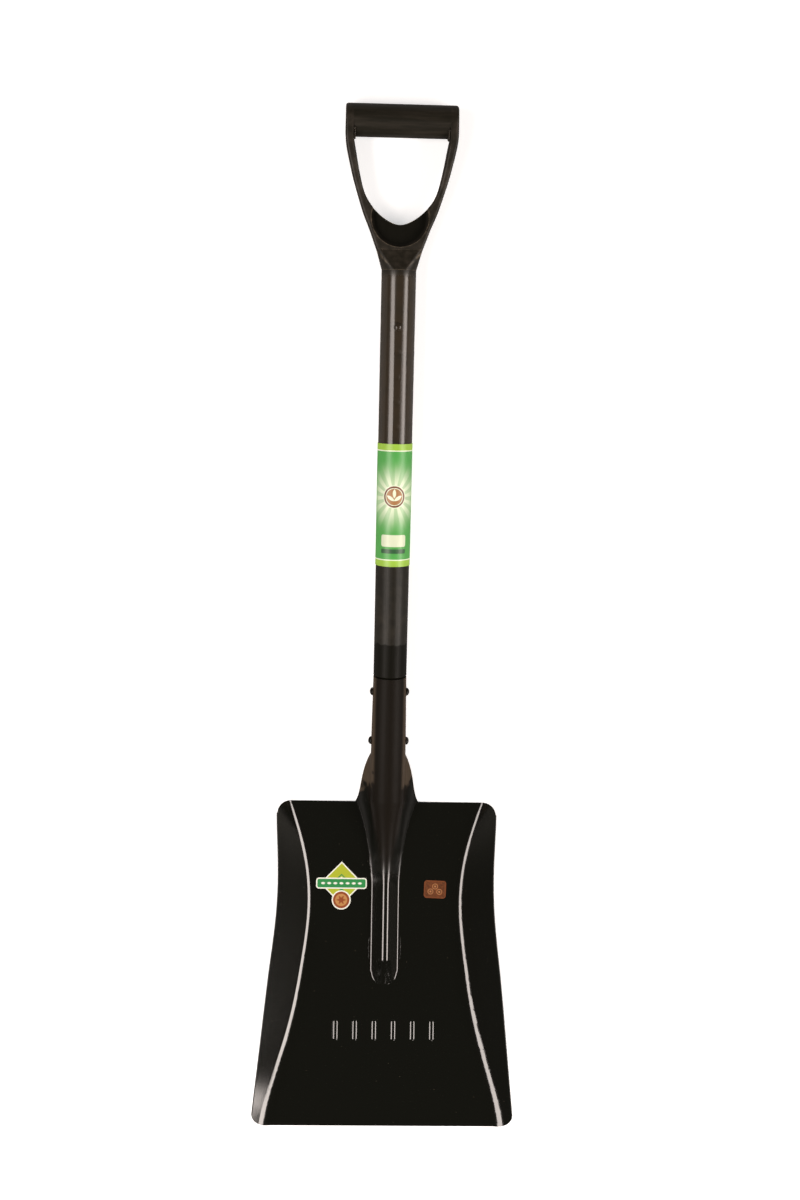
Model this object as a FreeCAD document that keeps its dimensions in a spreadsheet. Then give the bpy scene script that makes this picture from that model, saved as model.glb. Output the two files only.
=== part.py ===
import FreeCAD, Part
import math
import os

import Sketcher
from FreeCAD import Placement, Rotation, Vector

# Square mouth shovel, all steel.
#
# Shaft frame: +Y runs up the shaft towards the grip, +Z is the load side, +X completes it, and the origin is
# the point of the shaft's axis over the blade's shoulder.
# Blade frame: the load face of the pan is z = 0, the shoulder edge is y = 0 and the mouth is at -Y. The shaft
# rises from it by the lift angle.
# Part frame: the shovel lies on a floor with its load side up, on the heel of the blade and the grip.

# Driving dimensions: millimetres and degrees.
SIZES = (
    ("lift_angle", 15.0),
    ("axis_height", 17.5),
    ("sheet_thickness", 1.8),
    ("blade_length", 333.0),
    ("shoulder_width", 227.5),
    ("waist_width", 221.0),
    ("mouth_width", 269.0),
    ("shoulder_wall_reach", 13.25),
    ("waist_wall_reach", 32.0),
    ("mouth_wall_reach", 14.0),
    ("waist_drop", 90.0),
    ("wall_angle", 38.0),
    ("crease_radius", 10.0),
    ("mouth_crease_radius", 25.0),
    ("shoulder_corner_radius", 12.0),
    ("mouth_corner_radius", 16.0),
    ("rib_length", 177.0),
    ("rib_panel_width", 76.0),
    ("rib_crown_radius", 6.0),
    ("rib_height", 8.5),
    ("rib_foot_radius", 3.0),
    ("rib_flank_angle", 38.0),
    ("neck_flank_angle", 88.0),
    ("neck_crown_radius", 17.5),
    ("neck_foot_radius", 15.5),
    ("neck_length", 50.0),
    ("slot_length", 70.0),
    ("socket_neck_od", 35.6),
    ("socket_length", 135.0),
    ("seam_gap", 1.0),
    ("bead_width", 6.0),
    ("bead_length", 22.0),
    ("bead_height", 1.2),
    ("bead_pitch", 20.0),
    ("bead_drop", 236.0),
    ("shaft_od", 33.7),
    ("shaft_wall", 1.6),
    ("shaft_length", 405.0),
    ("swage_length", 2.0),
    ("swage_depth", 87.0),
    ("fit_clearance", 0.1),
    ("dimple_radius", 12.0),
    ("dimple_depth", 0.7),
    ("dimple_pitch", 24.0),
    ("dimple_drop", 78.0),
    ("grip_od", 30.8),
    ("grip_wall", 2.0),
    ("grip_width", 107.4),
    ("grip_rise", 139.0),
    ("arm_thickness", 7.6),
    ("arm_depth", 18.0),
    ("opening_depth", 96.2),
    ("opening_corner_drop", 70.0),
    ("opening_corner_width", 66.6),
    ("recess_radius", 27.9),
    ("recess_drop", 89.4),
    ("web_thickness", 4.0),
    ("crotch_width", 62.0),
    ("crotch_drop", 97.0),
    ("panel_width", 44.8),
    ("panel_drop", 119.6),
    ("panel_round", 4.0),
    ("arm_round", 2.5),
    ("tang_length", 70.0),
    ("tang_wall", 2.5),
    ("bore_rise", 8.0),
    ("weld_leg", 2.2),
    ("weld_angle", 120.0),
    ("rivet_shank", 6.0),
    ("rivet_head", 8.6),
    ("rivet_head_height", 3.2),
    ("upper_rivet_drop", 16.0),
    ("lower_rivet_drop", 68.0),
    ("yoke_rivet_drop", 54.0),
    ("label_length", 122.0),
    ("label_drop", 167.0),
    ("label_thickness", 0.3),
    ("label_angle", 356.0),
    ("label_gap", 0.2),
    ("sticker_thickness", 0.3),
    ("film_gap", 0.02),
    ("diamond_height", 45.0),
    ("diamond_width", 45.0),
    ("band_width", 53.0),
    ("band_height", 11.4),
    ("band_round", 3.0),
    ("lobe_radius", 9.9),
    ("lobe_drop", 17.2),
    ("diamond_x", -46.0),
    ("diamond_drop", 85.5),
    ("copper_width", 23.0),
    ("copper_height", 18.2),
    ("copper_corner", 3.0),
    ("copper_turn", -2.0),
    ("copper_x", 52.0),
    ("copper_drop", 90.8),
    ("full_turn", 360.0),
    ("overrun", 5.0),
)

# Shares of the lengths that they follow.
# Waist to shoulder and waist to mouth: (share of the way, share of the floor's spread, share of the edge's).
SHOULDER_STATION_SHARES = ((1.0, 1.0, 1.0), (0.5, 0.34, 0.4), (0.0, 0.0, 0.0))
MOUTH_STATION_SHARES = ((0.31, 0.12, 0.27), (0.62, 0.45, 0.6), (0.85, 0.83, 0.85), (1.0, 1.0, 1.0))
# Down the rib: (share of its length, share of the neck's form that is left there).
RIB_STATION_SHARES = ((0.0, 1.0), (0.12, 0.62), (0.25, 0.3), (0.38, 0.12), (0.57, 0.05), (1.0, 0.0))
# Up the neck: (share of its length, share of the width between the sheet's two edges).
NECK_STATION_SHARES = ((0.0, 1.0), (0.16, 0.9), (0.48, 0.806), (0.72, 0.712), (0.9, 0.6))
SLOT_MIDDLE_SHARE = 0.5
SLOT_MIDDLE_WIDTH_SHARE = 0.55
# Down the yoke's arms, between the grip and the crotch: (share of the way, share of the narrowing).
ARM_STATION_SHARES = ((0.18, 0.004), (0.37, 0.154), (0.56, 0.352), (0.75, 0.6), (0.93, 0.87))
# Down the sides of the opening, and then in along its nose: (share of the width, share of the depth).
OPENING_SIDE_SHARES = ((0.45, 0.36), (0.72, 0.61))
OPENING_NOSE_SHARES = ((0.79, 0.6), (0.56, 0.32), (0.27, 0.09), (0.0, 0.0))
# Down the side of the yoke: (share of the way to the panel's end, share of the narrowing).
DEPTH_STATION_SHARES = ((0.3, 0.35), (0.62, 0.94), (1.0, 1.0))
WELD_BULGE_SHARE = 0.6
# Over a hammered rivet head: (share of its half width, share of its height).
RIVET_HEAD_SHARES = ((0.92, 0.45), (0.66, 0.84), (0.34, 0.98), (0.0, 1.0))
# Degrees of the shaft's round that each flat of the yoke's neck is drawn in to, either side of its middle.
PANEL_TURN = 20.0
SIDE_TURN = 15.0
BEADS = 6
DIMPLES = 4
SYMMETRIC = "Symmetric"

doc = FreeCAD.newDocument("square_mouth_shovel")
sheet = doc.addObject("Spreadsheet::Sheet", "Sizes")
for row, (alias, value) in enumerate(SIZES, start=1):
    sheet.set("A%d" % row, alias)
    sheet.set("B%d" % row, str(value))
    sheet.setAlias("B%d" % row, alias)
doc.recompute()


def size(alias):
    """A driving dimension, read from the sheet."""
    return float(sheet.get(alias))


def mix(low, high, share):
    """The value a share of the way from low to high."""
    return low + (high - low) * share


# Lengths that follow from the driving dimensions.
thickness = size("sheet_thickness")
shaft_radius = size("shaft_od") / 2
socket_rim_height = size("socket_length")
shaft_top_height = socket_rim_height + size("shaft_length")
grip_height = shaft_top_height + size("grip_rise")
swaged_radius = shaft_radius - thickness - size("fit_clearance")
socket_neck_radius = size("socket_neck_od") / 2
grip_radius = size("grip_od") / 2
rivet_hole_radius = size("rivet_shank") / 2 + size("fit_clearance")
upper_rivet_height = socket_rim_height - size("upper_rivet_drop")
lower_rivet_height = socket_rim_height - size("lower_rivet_drop")
neck_flank = math.radians(size("neck_flank_angle"))
neck_flank_length = (size("neck_crown_radius") + size("neck_foot_radius")) / math.tan(neck_flank)
neck_foot_half = (size("neck_crown_radius") + size("neck_foot_radius")) / math.sin(neck_flank)


def socket_radius(height):
    """The socket's outer radius at a height up the shaft, on its taper from the slot to the rim."""
    share = (height - size("slot_length")) / (socket_rim_height - size("slot_length"))
    return mix(socket_neck_radius, shaft_radius, max(share, 0.0))


# Placements: blade frame and shaft frame in the part frame.

lift = math.radians(size("lift_angle"))
heel = Vector(0, -(size("axis_height") + thickness) * math.sin(lift),
              -(size("axis_height") + thickness) * math.cos(lift))
heel_to_grip = grip_height - heel.y
rest_angle = math.acos(grip_radius / math.hypot(heel_to_grip, heel.z)) - math.atan2(heel_to_grip, -heel.z)
back_slope = lift + rest_angle
mouth_reach = size("blade_length") * math.cos(back_slope) + thickness * math.sin(back_slope)

rest_turn = Placement(Vector(), Rotation(Vector(1, 0, 0), -math.degrees(rest_angle)))
heel_in_part = rest_turn.multVec(heel)
grip_in_part = rest_turn.multVec(Vector(0, grip_height, 0))
shoulder_back_in_part = heel_in_part.y + thickness * math.sin(back_slope)
middle_y = (grip_in_part.y + grip_radius + shoulder_back_in_part - mouth_reach) / 2
part_shift = Placement(Vector(0, -middle_y, -heel_in_part.z), Rotation())
SHAFT_FRAME = part_shift.multiply(rest_turn)
BLADE_FRAME = SHAFT_FRAME.multiply(
    Placement(Vector(), Rotation(Vector(1, 0, 0), -size("lift_angle")))
).multiply(Placement(Vector(0, 0, -size("axis_height")), Rotation()))


# Helpers for sketches and bodies.


def new_body(name):
    """A body that is one sub-part."""
    body = doc.addObject("PartDesign::Body", name)
    body.Label = name
    return body


def origin_feature(body, role):
    """The body's own origin plane or axis with that role."""
    return next(feature for feature in body.Origin.OriginFeatures if feature.Role == role)


def new_sketch(body, name, role, lift_off=0.0):
    """A sketch on one of the body's origin planes, lifted off it along its normal."""
    sketch = body.newObject("Sketcher::SketchObject", name)
    sketch.AttachmentSupport = [(origin_feature(body, role), "")]
    sketch.MapMode = "FlatFace"
    sketch.AttachmentOffset = Placement(Vector(0, 0, lift_off), Rotation())
    return sketch


def add_circle(sketch, x, y, radius_formula):
    """A circle at a place, with its radius bound to the sheet."""
    index = sketch.addGeometry(Part.Circle(Vector(x, y, 0), Vector(0, 0, 1), 1.0))
    if x == 0 and y == 0:
        sketch.addConstraint(Sketcher.Constraint("Coincident", index, 3, -1, 1))
    radius = sketch.addConstraint(Sketcher.Constraint("Radius", index, 1.0))
    sketch.setExpression("Constraints[%d]" % radius, radius_formula)


def add_outline(sketch, corners):
    """A closed outline. A corner is a point; one given as a pair is an arc's middle and its end."""
    ends = [corner[1] if isinstance(corner, tuple) else corner for corner in corners]
    for index, corner in enumerate(corners):
        start = ends[index - 1]
        if isinstance(corner, tuple):
            sketch.addGeometry(Part.Arc(start, corner[0], corner[1]))
        else:
            sketch.addGeometry(Part.LineSegment(start, corner))
    return sketch


def add_pad(body, sketch, name, length_formula, side="One side"):
    """A pad whose length is bound to the sheet."""
    pad = body.newObject("PartDesign::Pad", name)
    pad.Profile = sketch
    pad.SideType = side
    pad.setExpression("Length", length_formula)
    return pad


def add_through_hole(body, sketch, name):
    """A pocket right through the body, both ways from its sketch."""
    pocket = body.newObject("PartDesign::Pocket", name)
    pocket.Profile = sketch
    pocket.Type = "ThroughAll"
    pocket.SideType = SYMMETRIC
    return pocket


def add_revolution(body, sketch, name, axis, angle_formula, side="One side"):
    """A revolution about one of the sketch's axes, with its angle bound to the sheet."""
    turned = body.newObject("PartDesign::Revolution", name)
    turned.Profile = sketch
    turned.ReferenceAxis = (sketch, [axis])
    turned.Midplane = side == SYMMETRIC
    turned.setExpression("Angle", angle_formula)
    return turned


# Sections of the pressed sheet, drawn in the XZ plane: load side up, from left to right.


def left_of(heading):
    """The heading turned a quarter to the left, which is the sheet's load side."""
    return Vector(-heading.z, 0, heading.x)


def tangent_arc(start, heading, end):
    """The middle of the arc that leaves start along heading and stops at end, and three headings."""
    chord = end - start
    along = Vector(chord).normalize()
    turn = math.atan2(along.x * heading.z - along.z * heading.x, along.dot(heading))
    middle = (start + end) / 2 + left_of(along) * (chord.Length / 2 * math.tan(turn / 2))
    last = Vector(along.x * math.cos(turn) + along.z * math.sin(turn), 0,
                  along.z * math.cos(turn) - along.x * math.sin(turn))
    return middle, along, last


def mirrored(point):
    """The point on the other side of the middle."""
    return Vector(-point.x, point.y, point.z)


def bend(start, middle, end):
    """A round bend of the sheet, drawn as one smooth span that keeps to the circle through three points."""
    arc = Part.Arc(start, middle, end).toShape()
    turn = arc.LastParameter - arc.FirstParameter
    handle = arc.Curve.Radius * math.tan(turn / 4) * 4 / 3
    span = Part.BezierCurve()
    span.setPoles([start, start + arc.tangentAt(arc.FirstParameter) * handle,
                   end - arc.tangentAt(arc.LastParameter) * handle, end])
    return span.toShape()


def arch(crown_radius, foot):
    """Half of an arch in the sheet, crown top to foot: its points on the load side and on the back."""
    up = Vector(0, 0, 1)
    heading = Vector(math.cos(neck_flank), 0, -math.sin(neck_flank))
    hip_out = left_of(heading)
    crown_out = (up + hip_out).normalize()
    hip = hip_out * crown_radius
    knee = hip + heading * neck_flank_length
    middle, along, last = tangent_arc(knee, heading, foot)
    front = (up * crown_radius, crown_out * crown_radius, hip, knee, middle, foot)
    outward = (up, crown_out, hip_out, hip_out, left_of(along), left_of(last))
    back = [point - out * thickness for point, out in zip(front, outward)]
    return front, back


def rib_arch(share):
    """Half of the rib where that share of the neck's form is left: crown, straight flank and foot."""
    crown_radius = mix(size("rib_crown_radius"), size("neck_crown_radius"), share)
    foot_radius = mix(size("rib_foot_radius"), size("neck_foot_radius"), share)
    neck_height = size("neck_crown_radius") + size("neck_foot_radius")
    height = mix(size("rib_height"), neck_height, share)
    flank = mix(math.radians(size("rib_flank_angle")), neck_flank, share)
    up = Vector(0, 0, 1)
    hip_out = Vector(math.sin(flank), 0, math.cos(flank))
    half_out = Vector(math.sin(flank / 2), 0, math.cos(flank / 2))
    centre = up * (height - crown_radius)
    hip = centre + hip_out * crown_radius
    flank_drop = hip.z - foot_radius * (1 - hip_out.z)
    foot = Vector(hip.x + flank_drop / math.tan(flank) + foot_radius * hip_out.x, 0, 0)
    foot_centre = foot + up * foot_radius
    front = (up * height, centre + half_out * crown_radius, hip,
             foot_centre - hip_out * foot_radius, foot_centre - half_out * foot_radius, foot)
    outward = (up, half_out, hip_out, hip_out, half_out, up)
    back = [point - out * thickness for point, out in zip(front, outward)]
    return front, back


def half_arch_edges(side):
    """The crown, the flank and the foot of an arch or a rib, from its top down."""
    top, crown, hip, knee, middle, foot = side
    return [bend(top, crown, hip), line(hip, knee), bend(knee, middle, foot)]


def arch_edges(side):
    """The edges over an arch from its left foot to its right one."""
    return half_arch_edges([mirrored(point) for point in side])[::-1] + half_arch_edges(side)


def line(start, end):
    """A straight edge."""
    return Part.makeLine(start, end)


def panel_section(share, along_y):
    """The rib's panel of sheet across the middle of the pan, at one place along it."""
    front, back = rib_arch(share)
    edge = Vector(size("rib_panel_width") / 2, 0, 0)
    under = edge - Vector(0, 0, thickness)
    edges = [line(mirrored(edge), mirrored(front[-1]))] + arch_edges(front)
    edges += [line(front[-1], edge), line(edge, under), line(under, back[-1])]
    edges += arch_edges(back)[::-1]
    edges += [line(mirrored(back[-1]), mirrored(under)), line(mirrored(under), mirrored(edge))]
    wire = Part.Wire(Part.__sortEdges__(edges))
    wire.translate(Vector(0, along_y, 0))
    return wire


def open_section(crown_radius, half_width, drop, placement):
    """The neck's or socket's sheet, open at the back between its two edges."""
    front, back = arch(crown_radius, Vector(half_width, 0, -drop))
    edges = arch_edges(front) + [line(front[-1], back[-1])]
    edges += arch_edges(back)[::-1] + [line(mirrored(back[-1]), mirrored(front[-1]))]
    return placed(Part.Wire(Part.__sortEdges__(edges)), placement)


def placed(shape, placement):
    """The shape moved by a placement, with its own left plain."""
    moved = shape.copy()
    moved.Placement = placement.multiply(moved.Placement)
    return moved


# Blade: pan, rib panel, rib nose, neck and socket, all of one sheet.


def pan_section(along_y, floor_half, edge_half, crease_radius):
    """The pan's section: flat floor, rounded creases and turned-up walls, as a closed wire."""
    wall = math.radians(size("wall_angle"))
    setback = crease_radius * math.tan(wall / 2)
    rise = Vector(math.cos(wall), 0, math.sin(wall))
    floor_end = Vector(floor_half - setback, 0, 0)
    crease_end = Vector(floor_half, 0, 0) + rise * setback
    edge = Vector(floor_half, 0, 0) + rise * ((edge_half - floor_half) / math.cos(wall))
    centre = floor_end + Vector(0, 0, crease_radius)
    out_middle = Vector(math.sin(wall / 2), 0, -math.cos(wall / 2))
    out_wall = Vector(math.sin(wall), 0, -math.cos(wall))
    front = (floor_end, centre + out_middle * crease_radius, crease_end, edge)
    normals = (Vector(0, 0, -1), out_middle, out_wall, out_wall)
    back = [point + normal * thickness for point, normal in zip(front, normals)]
    edges = []
    for floor, middle, crease_end, rim in (front, back):
        edges += [line(mirrored(rim), mirrored(crease_end)),
                  bend(mirrored(crease_end), mirrored(middle), mirrored(floor)),
                  line(mirrored(floor), floor),
                  bend(floor, middle, crease_end),
                  line(crease_end, rim)]
    edges += [line(front[-1], back[-1]), line(mirrored(front[-1]), mirrored(back[-1]))]
    wire = Part.Wire(Part.__sortEdges__(edges))
    wire.translate(Vector(0, along_y, 0))
    return wire


def pan_stations():
    """The pan's sections from the shoulder to the mouth."""
    waist_edge = size("waist_width") / 2
    waist_floor = waist_edge - size("waist_wall_reach")
    waist_y = -size("waist_drop")
    stations = []
    ends = ((SHOULDER_STATION_SHARES, 0.0, "shoulder", size("crease_radius")),
            (MOUTH_STATION_SHARES, -size("blade_length"), "mouth", size("mouth_crease_radius")))
    for shares, end_y, name, end_radius in ends:
        for way, floor_share, edge_share in shares:
            end_edge = size(name + "_width") / 2
            floor_half = mix(waist_floor, end_edge - size(name + "_wall_reach"), floor_share)
            edge_half = mix(waist_edge, end_edge, edge_share)
            radius = mix(size("crease_radius"), end_radius, way * way)
            stations.append(pan_section(mix(waist_y, end_y, way), floor_half, edge_half, radius))
    return stations


def pan_outline():
    """The pan's plan outline with its four rounded corners, as a block to keep."""
    reach = size("mouth_width") / 2 + size("overrun")
    depth = size("mouth_width")
    blank = Part.makeBox(2 * reach, size("blade_length"), depth, Vector(-reach, -size("blade_length"), -depth / 2))
    corners = ((size("shoulder_width") / 2, 0.0, size("shoulder_corner_radius"), -1),
               (size("mouth_width") / 2, -size("blade_length"), size("mouth_corner_radius"), 1))
    for half, edge_y, radius, inward in corners:
        for side in (-1, 1):
            inner = Vector(side * (half - radius), edge_y + inward * radius, 0)
            start = Vector(side * (half - radius), edge_y, 0)
            end = Vector(side * half, edge_y + inward * radius, 0)
            middle = inner + Vector(side, -inward, 0).normalize() * radius
            beyond = Vector(side * (reach + size("overrun")), edge_y + inward * radius, 0)
            past = Vector(beyond.x, edge_y - inward * size("overrun"), 0)
            back = Vector(start.x, past.y, 0)
            edges = [Part.Arc(start, middle, end).toShape(), line(end, beyond), line(beyond, past),
                     line(past, back), line(back, start)]
            cutter = Part.Face(Part.Wire(edges)).extrude(Vector(0, 0, depth))
            cutter.translate(Vector(0, 0, -depth / 2))
            blank = blank.cut(cutter)
    return blank


def make_pan():
    """The pan, with a window where the rib's panel goes."""
    panel_half = size("rib_panel_width") / 2
    depth = 2 * thickness + 2 * size("overrun")
    window = Part.makeBox(2 * panel_half, size("rib_length") + size("overrun"), depth,
                          Vector(-panel_half, -size("rib_length"), -depth / 2))
    round_end = Part.makeCylinder(panel_half, depth, Vector(0, -size("rib_length"), -depth / 2))
    pan = Part.makeLoft(pan_stations(), True, False)
    return pan.common(pan_outline()).cut(window.fuse(round_end).removeSplitter())


def make_rib():
    """The rib's panel, from the shoulder to the nose, and the round nose turned at its end."""
    stations = [panel_section(form, -way * size("rib_length")) for way, form in RIB_STATION_SHARES]
    panel = Part.makeLoft(stations, True, False)
    front, back = rib_arch(0.0)
    panel_edge = Vector(size("rib_panel_width") / 2, 0, 0)
    panel_under = panel_edge - Vector(0, 0, thickness)
    half = half_arch_edges(front) + half_arch_edges(back)
    half += [line(front[-1], panel_edge), line(panel_edge, panel_under), line(panel_under, back[-1]),
             line(back[0], front[0])]
    face = Part.Face(Part.Wire(Part.__sortEdges__(half)))
    nose = face.revolve(Vector(), Vector(0, 0, 1), -180)
    nose.translate(Vector(0, -size("rib_length"), 0))
    return panel, nose


def neck_placement(height):
    """The plane of a neck or socket section: upright at the shoulder, square to the shaft past the neck."""
    share = min(height / size("neck_length"), 1.0)
    on_axis = max(height, size("neck_length"))
    axis_point = Vector(0, on_axis * math.cos(lift), size("axis_height") + on_axis * math.sin(lift))
    shoulder_point = Vector(0, 0, size("neck_foot_radius"))
    place = shoulder_point + (axis_point - shoulder_point) * share
    return Placement(place, Rotation(Vector(1, 0, 0), size("lift_angle") * share))


def make_neck():
    """The neck and socket: the sheet rolls up from the shoulder until its edges meet at the back."""
    stations = []
    slot_end = size("slot_length")
    heights = [(way * size("neck_length"), width) for way, width in NECK_STATION_SHARES]
    heights.append((mix(size("neck_length"), slot_end, SLOT_MIDDLE_SHARE),
                    SLOT_MIDDLE_WIDTH_SHARE * size("neck_crown_radius") / neck_foot_half))
    for height, width in heights:
        share = height / slot_end
        radius = mix(size("neck_crown_radius"), socket_neck_radius, min(height / size("neck_length"), 1.0))
        drop = mix(size("neck_foot_radius"), socket_neck_radius, share)
        half_width = width * neck_foot_half
        stations.append(open_section(radius, half_width, drop, neck_placement(height)))
    ring = []
    for height in (slot_end, socket_rim_height):
        radius = socket_radius(height)
        half_gap = size("seam_gap") / 2
        drop = math.sqrt(radius * radius - half_gap * half_gap)
        ring.append(open_section(radius, half_gap, drop, neck_placement(height)))
    stations.append(ring[0])
    return Part.makeLoft(stations, True, False), Part.makeLoft(ring, True, True)


def make_beads():
    """A plain row of pressed beads low on the pan: what stands out of it, and the dents in its back."""
    rise = size("bead_height")
    half = size("bead_width") / 2
    radius = (half * half + rise * rise) / (2 * rise)
    centre_z = rise - radius
    straight = size("bead_length") - size("bead_width")
    outside = []
    inside = []
    for index in range(BEADS):
        x = (index - (BEADS - 1) / 2) * size("bead_pitch")
        start = Vector(x, -size("bead_drop") - straight / 2, centre_z)
        for bead_radius, shapes in ((radius, outside), (radius - thickness, inside)):
            body = Part.makeCylinder(bead_radius, straight, start, Vector(0, 1, 0))
            ends = [Part.makeSphere(bead_radius, start + Vector(0, way * straight, 0)) for way in (0, 1)]
            shapes.append(body.fuse(ends).removeSplitter())
    reach = size("mouth_width") / 2
    above = Part.makeBox(2 * reach, size("blade_length"), radius,
                         Vector(-reach, -size("blade_length"), -thickness / 2))
    return [shape.common(above) for shape in outside], inside


def rivet_hole(height):
    """The cutter of a hole for a rivet across the socket."""
    centre = Vector(0, height * math.cos(lift), size("axis_height") + height * math.sin(lift))
    reach = size("socket_neck_od")
    return Part.makeCylinder(rivet_hole_radius, 2 * reach, centre - Vector(reach, 0, 0), Vector(1, 0, 0))


def make_blade():
    """The whole pressed blade in the blade frame."""
    pan = make_pan()
    panel, nose = make_rib()
    neck, socket = make_neck()
    outside, inside = make_beads()
    blade = pan.fuse([panel, nose, neck, socket])
    blade = blade.fuse(outside)
    holes = [rivet_hole(upper_rivet_height), rivet_hole(lower_rivet_height)]
    return blade.cut(inside + holes)


blade = doc.addObject("Part::Feature", "blade")
blade.Label = "blade"
blade.Shape = make_blade()
blade.Placement = BLADE_FRAME


# Handle yoke: two arms with round ears, a set-back web in the crotch, and a tang for the shaft.
# It is drawn about the grip's axis, down to -Y.

ear_half = size("grip_width") / 2
ear_inner = ear_half - size("arm_thickness")
arm_half_depth = size("arm_depth") / 2
tang_radius = shaft_radius - size("shaft_wall") - size("fit_clearance")


def yoke_outer_points():
    """The outer edge of the right arm, from the ear down to the panel over the shaft."""
    crotch = Vector(size("crotch_width") / 2, -size("crotch_drop"), 0)
    points = [Vector(ear_half, 0, 0)]
    for way, narrowing in ARM_STATION_SHARES:
        points.append(Vector(mix(ear_half, crotch.x, narrowing), way * crotch.y, 0))
    points += [crotch, Vector(size("panel_width") / 2, -size("panel_drop"), 0)]
    return points


def opening_points():
    """The hand opening's edge, from the right ear down to the middle of its nose."""
    corner = Vector(size("opening_corner_width") / 2, -size("opening_corner_drop"), 0)
    points = [Vector(ear_inner, -grip_radius, 0)]
    for way, narrowing in OPENING_SIDE_SHARES:
        points.append(Vector(mix(ear_inner, corner.x, narrowing), mix(-grip_radius, corner.y, way), 0))
    points.append(corner)
    for width, depth in OPENING_NOSE_SHARES:
        points.append(Vector(corner.x * width, mix(-size("opening_depth"), corner.y, depth), 0))
    return points


def yoke_outline(sketch):
    """The yoke from the front: outer edges, ears, and the hand opening down to its rounded nose."""
    outer = yoke_outer_points()
    inner = opening_points()
    ear_top = Vector(ear_half, grip_radius, 0)
    inner_top = Vector(ear_inner, grip_radius, 0)
    for side in (1, -1):
        edge = Part.BSplineCurve()
        edge.interpolate([Vector(side * point.x, point.y, 0) for point in outer],
                         InitialTangent=Vector(0, -1, 0),
                         FinalTangent=Vector(side * (outer[-1].x - outer[-2].x), outer[-1].y - outer[-2].y, 0))
        sketch.addGeometry(edge)
        for start, end in ((outer[0], ear_top), (ear_top, inner_top), (inner_top, inner[0])):
            sketch.addGeometry(Part.LineSegment(Vector(side * start.x, start.y, 0),
                                                Vector(side * end.x, end.y, 0)))
    opening = Part.BSplineCurve()
    opening.interpolate(inner + [mirrored(point) for point in inner[-2::-1]])
    sketch.addGeometry(opening)
    sketch.addGeometry(Part.LineSegment(outer[-1], mirrored(outer[-1])))
    return sketch


def yoke_side(sketch):
    """The yoke from the side: round at the ears, tapering to the depth of the arms."""
    front = [Vector(0, grip_radius, 0)]
    for drop, narrowing in DEPTH_STATION_SHARES:
        front.append(Vector(-drop * size("panel_drop"), mix(grip_radius, arm_half_depth, narrowing), 0))
    for side in (1, -1):
        edge = Part.BSplineCurve()
        edge.interpolate([Vector(point.x, side * point.y, 0) for point in front],
                         InitialTangent=Vector(-1, 0, 0), FinalTangent=Vector(-1, 0, 0))
        sketch.addGeometry(edge)
    low = front[-1]
    sketch.addGeometry(Part.LineSegment(low, Vector(low.x, -low.y, 0)))
    sketch.addGeometry(Part.Arc(front[0], Vector(grip_radius, 0, 0), Vector(0, -grip_radius, 0)))
    return sketch


def extruded(name, sketch, direction, length_formula):
    """A block drawn by a sketch, reaching as far to both sides of it."""
    block = doc.addObject("Part::Extrusion", name)
    block.Base = sketch
    block.DirMode = "Custom"
    block.Dir = direction
    block.Solid = True
    block.Symmetric = True
    block.setExpression("LengthFwd", length_formula)
    return block


def yoke_neck():
    """The panel under the crotch, drawn in to the round of the shaft."""
    half_width = size("panel_width") / 2
    round_off = size("panel_round")
    panel_turn = math.radians(PANEL_TURN)
    side_turn = math.pi / 2 - math.radians(SIDE_TURN)
    flat_x = half_width - round_off
    flat_z = arm_half_depth - round_off
    diagonal = Vector(1, 0, 1).normalize() * round_off
    corner_middle = Vector(flat_x, 0, flat_z) + diagonal

    def on_shaft(turn):
        return Vector(math.sin(turn), 0, math.cos(turn)) * shaft_radius

    def quarter_turns(point):
        return [Vector(sx * point.x, 0, sz * point.z) for sx, sz in ((1, 1), (1, -1), (-1, -1), (-1, 1))]

    wires = []
    for flat_end, middle, side_end, drop, straight in (
            (Vector(flat_x, 0, arm_half_depth), corner_middle, Vector(half_width, 0, flat_z),
             size("panel_drop"), True),
            (on_shaft(panel_turn), on_shaft((panel_turn + side_turn) / 2), on_shaft(side_turn),
             size("grip_rise"), False)):
        ends = quarter_turns(flat_end)
        middles = quarter_turns(middle)
        sides = quarter_turns(side_end)
        edges = []
        for index in range(4):
            onward = (index + 1) % 4
            edges.append(Part.Arc(ends[index], middles[index], sides[index]).toShape())
            first, second = (sides, sides) if index % 2 == 0 else (ends, ends)
            if straight:
                edges.append(line(first[index], second[onward]))
            else:
                crest = (first[index] + second[onward]).normalize() * shaft_radius
                edges.append(Part.Arc(first[index], crest, second[onward]).toShape())
        wire = Part.Wire(Part.__sortEdges__(edges))
        wire.translate(Vector(0, -drop, 0))
        wires.append(wire)
    return Part.makeLoft(wires, True, True)


def cylinder(name, radius_formula, height_formula, base, direction):
    """A cylinder bound to the sheet, from its base point along a direction."""
    made = doc.addObject("Part::Cylinder", name)
    made.setExpression("Radius", radius_formula)
    made.setExpression("Height", height_formula)
    made.Placement = Placement(base, Rotation(Vector(0, 0, 1), direction))
    return made


def combined(kind, name, shapes):
    """A fusion or an intersection of several shapes."""
    made = doc.addObject(kind, name)
    made.Shapes = shapes
    return made


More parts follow.
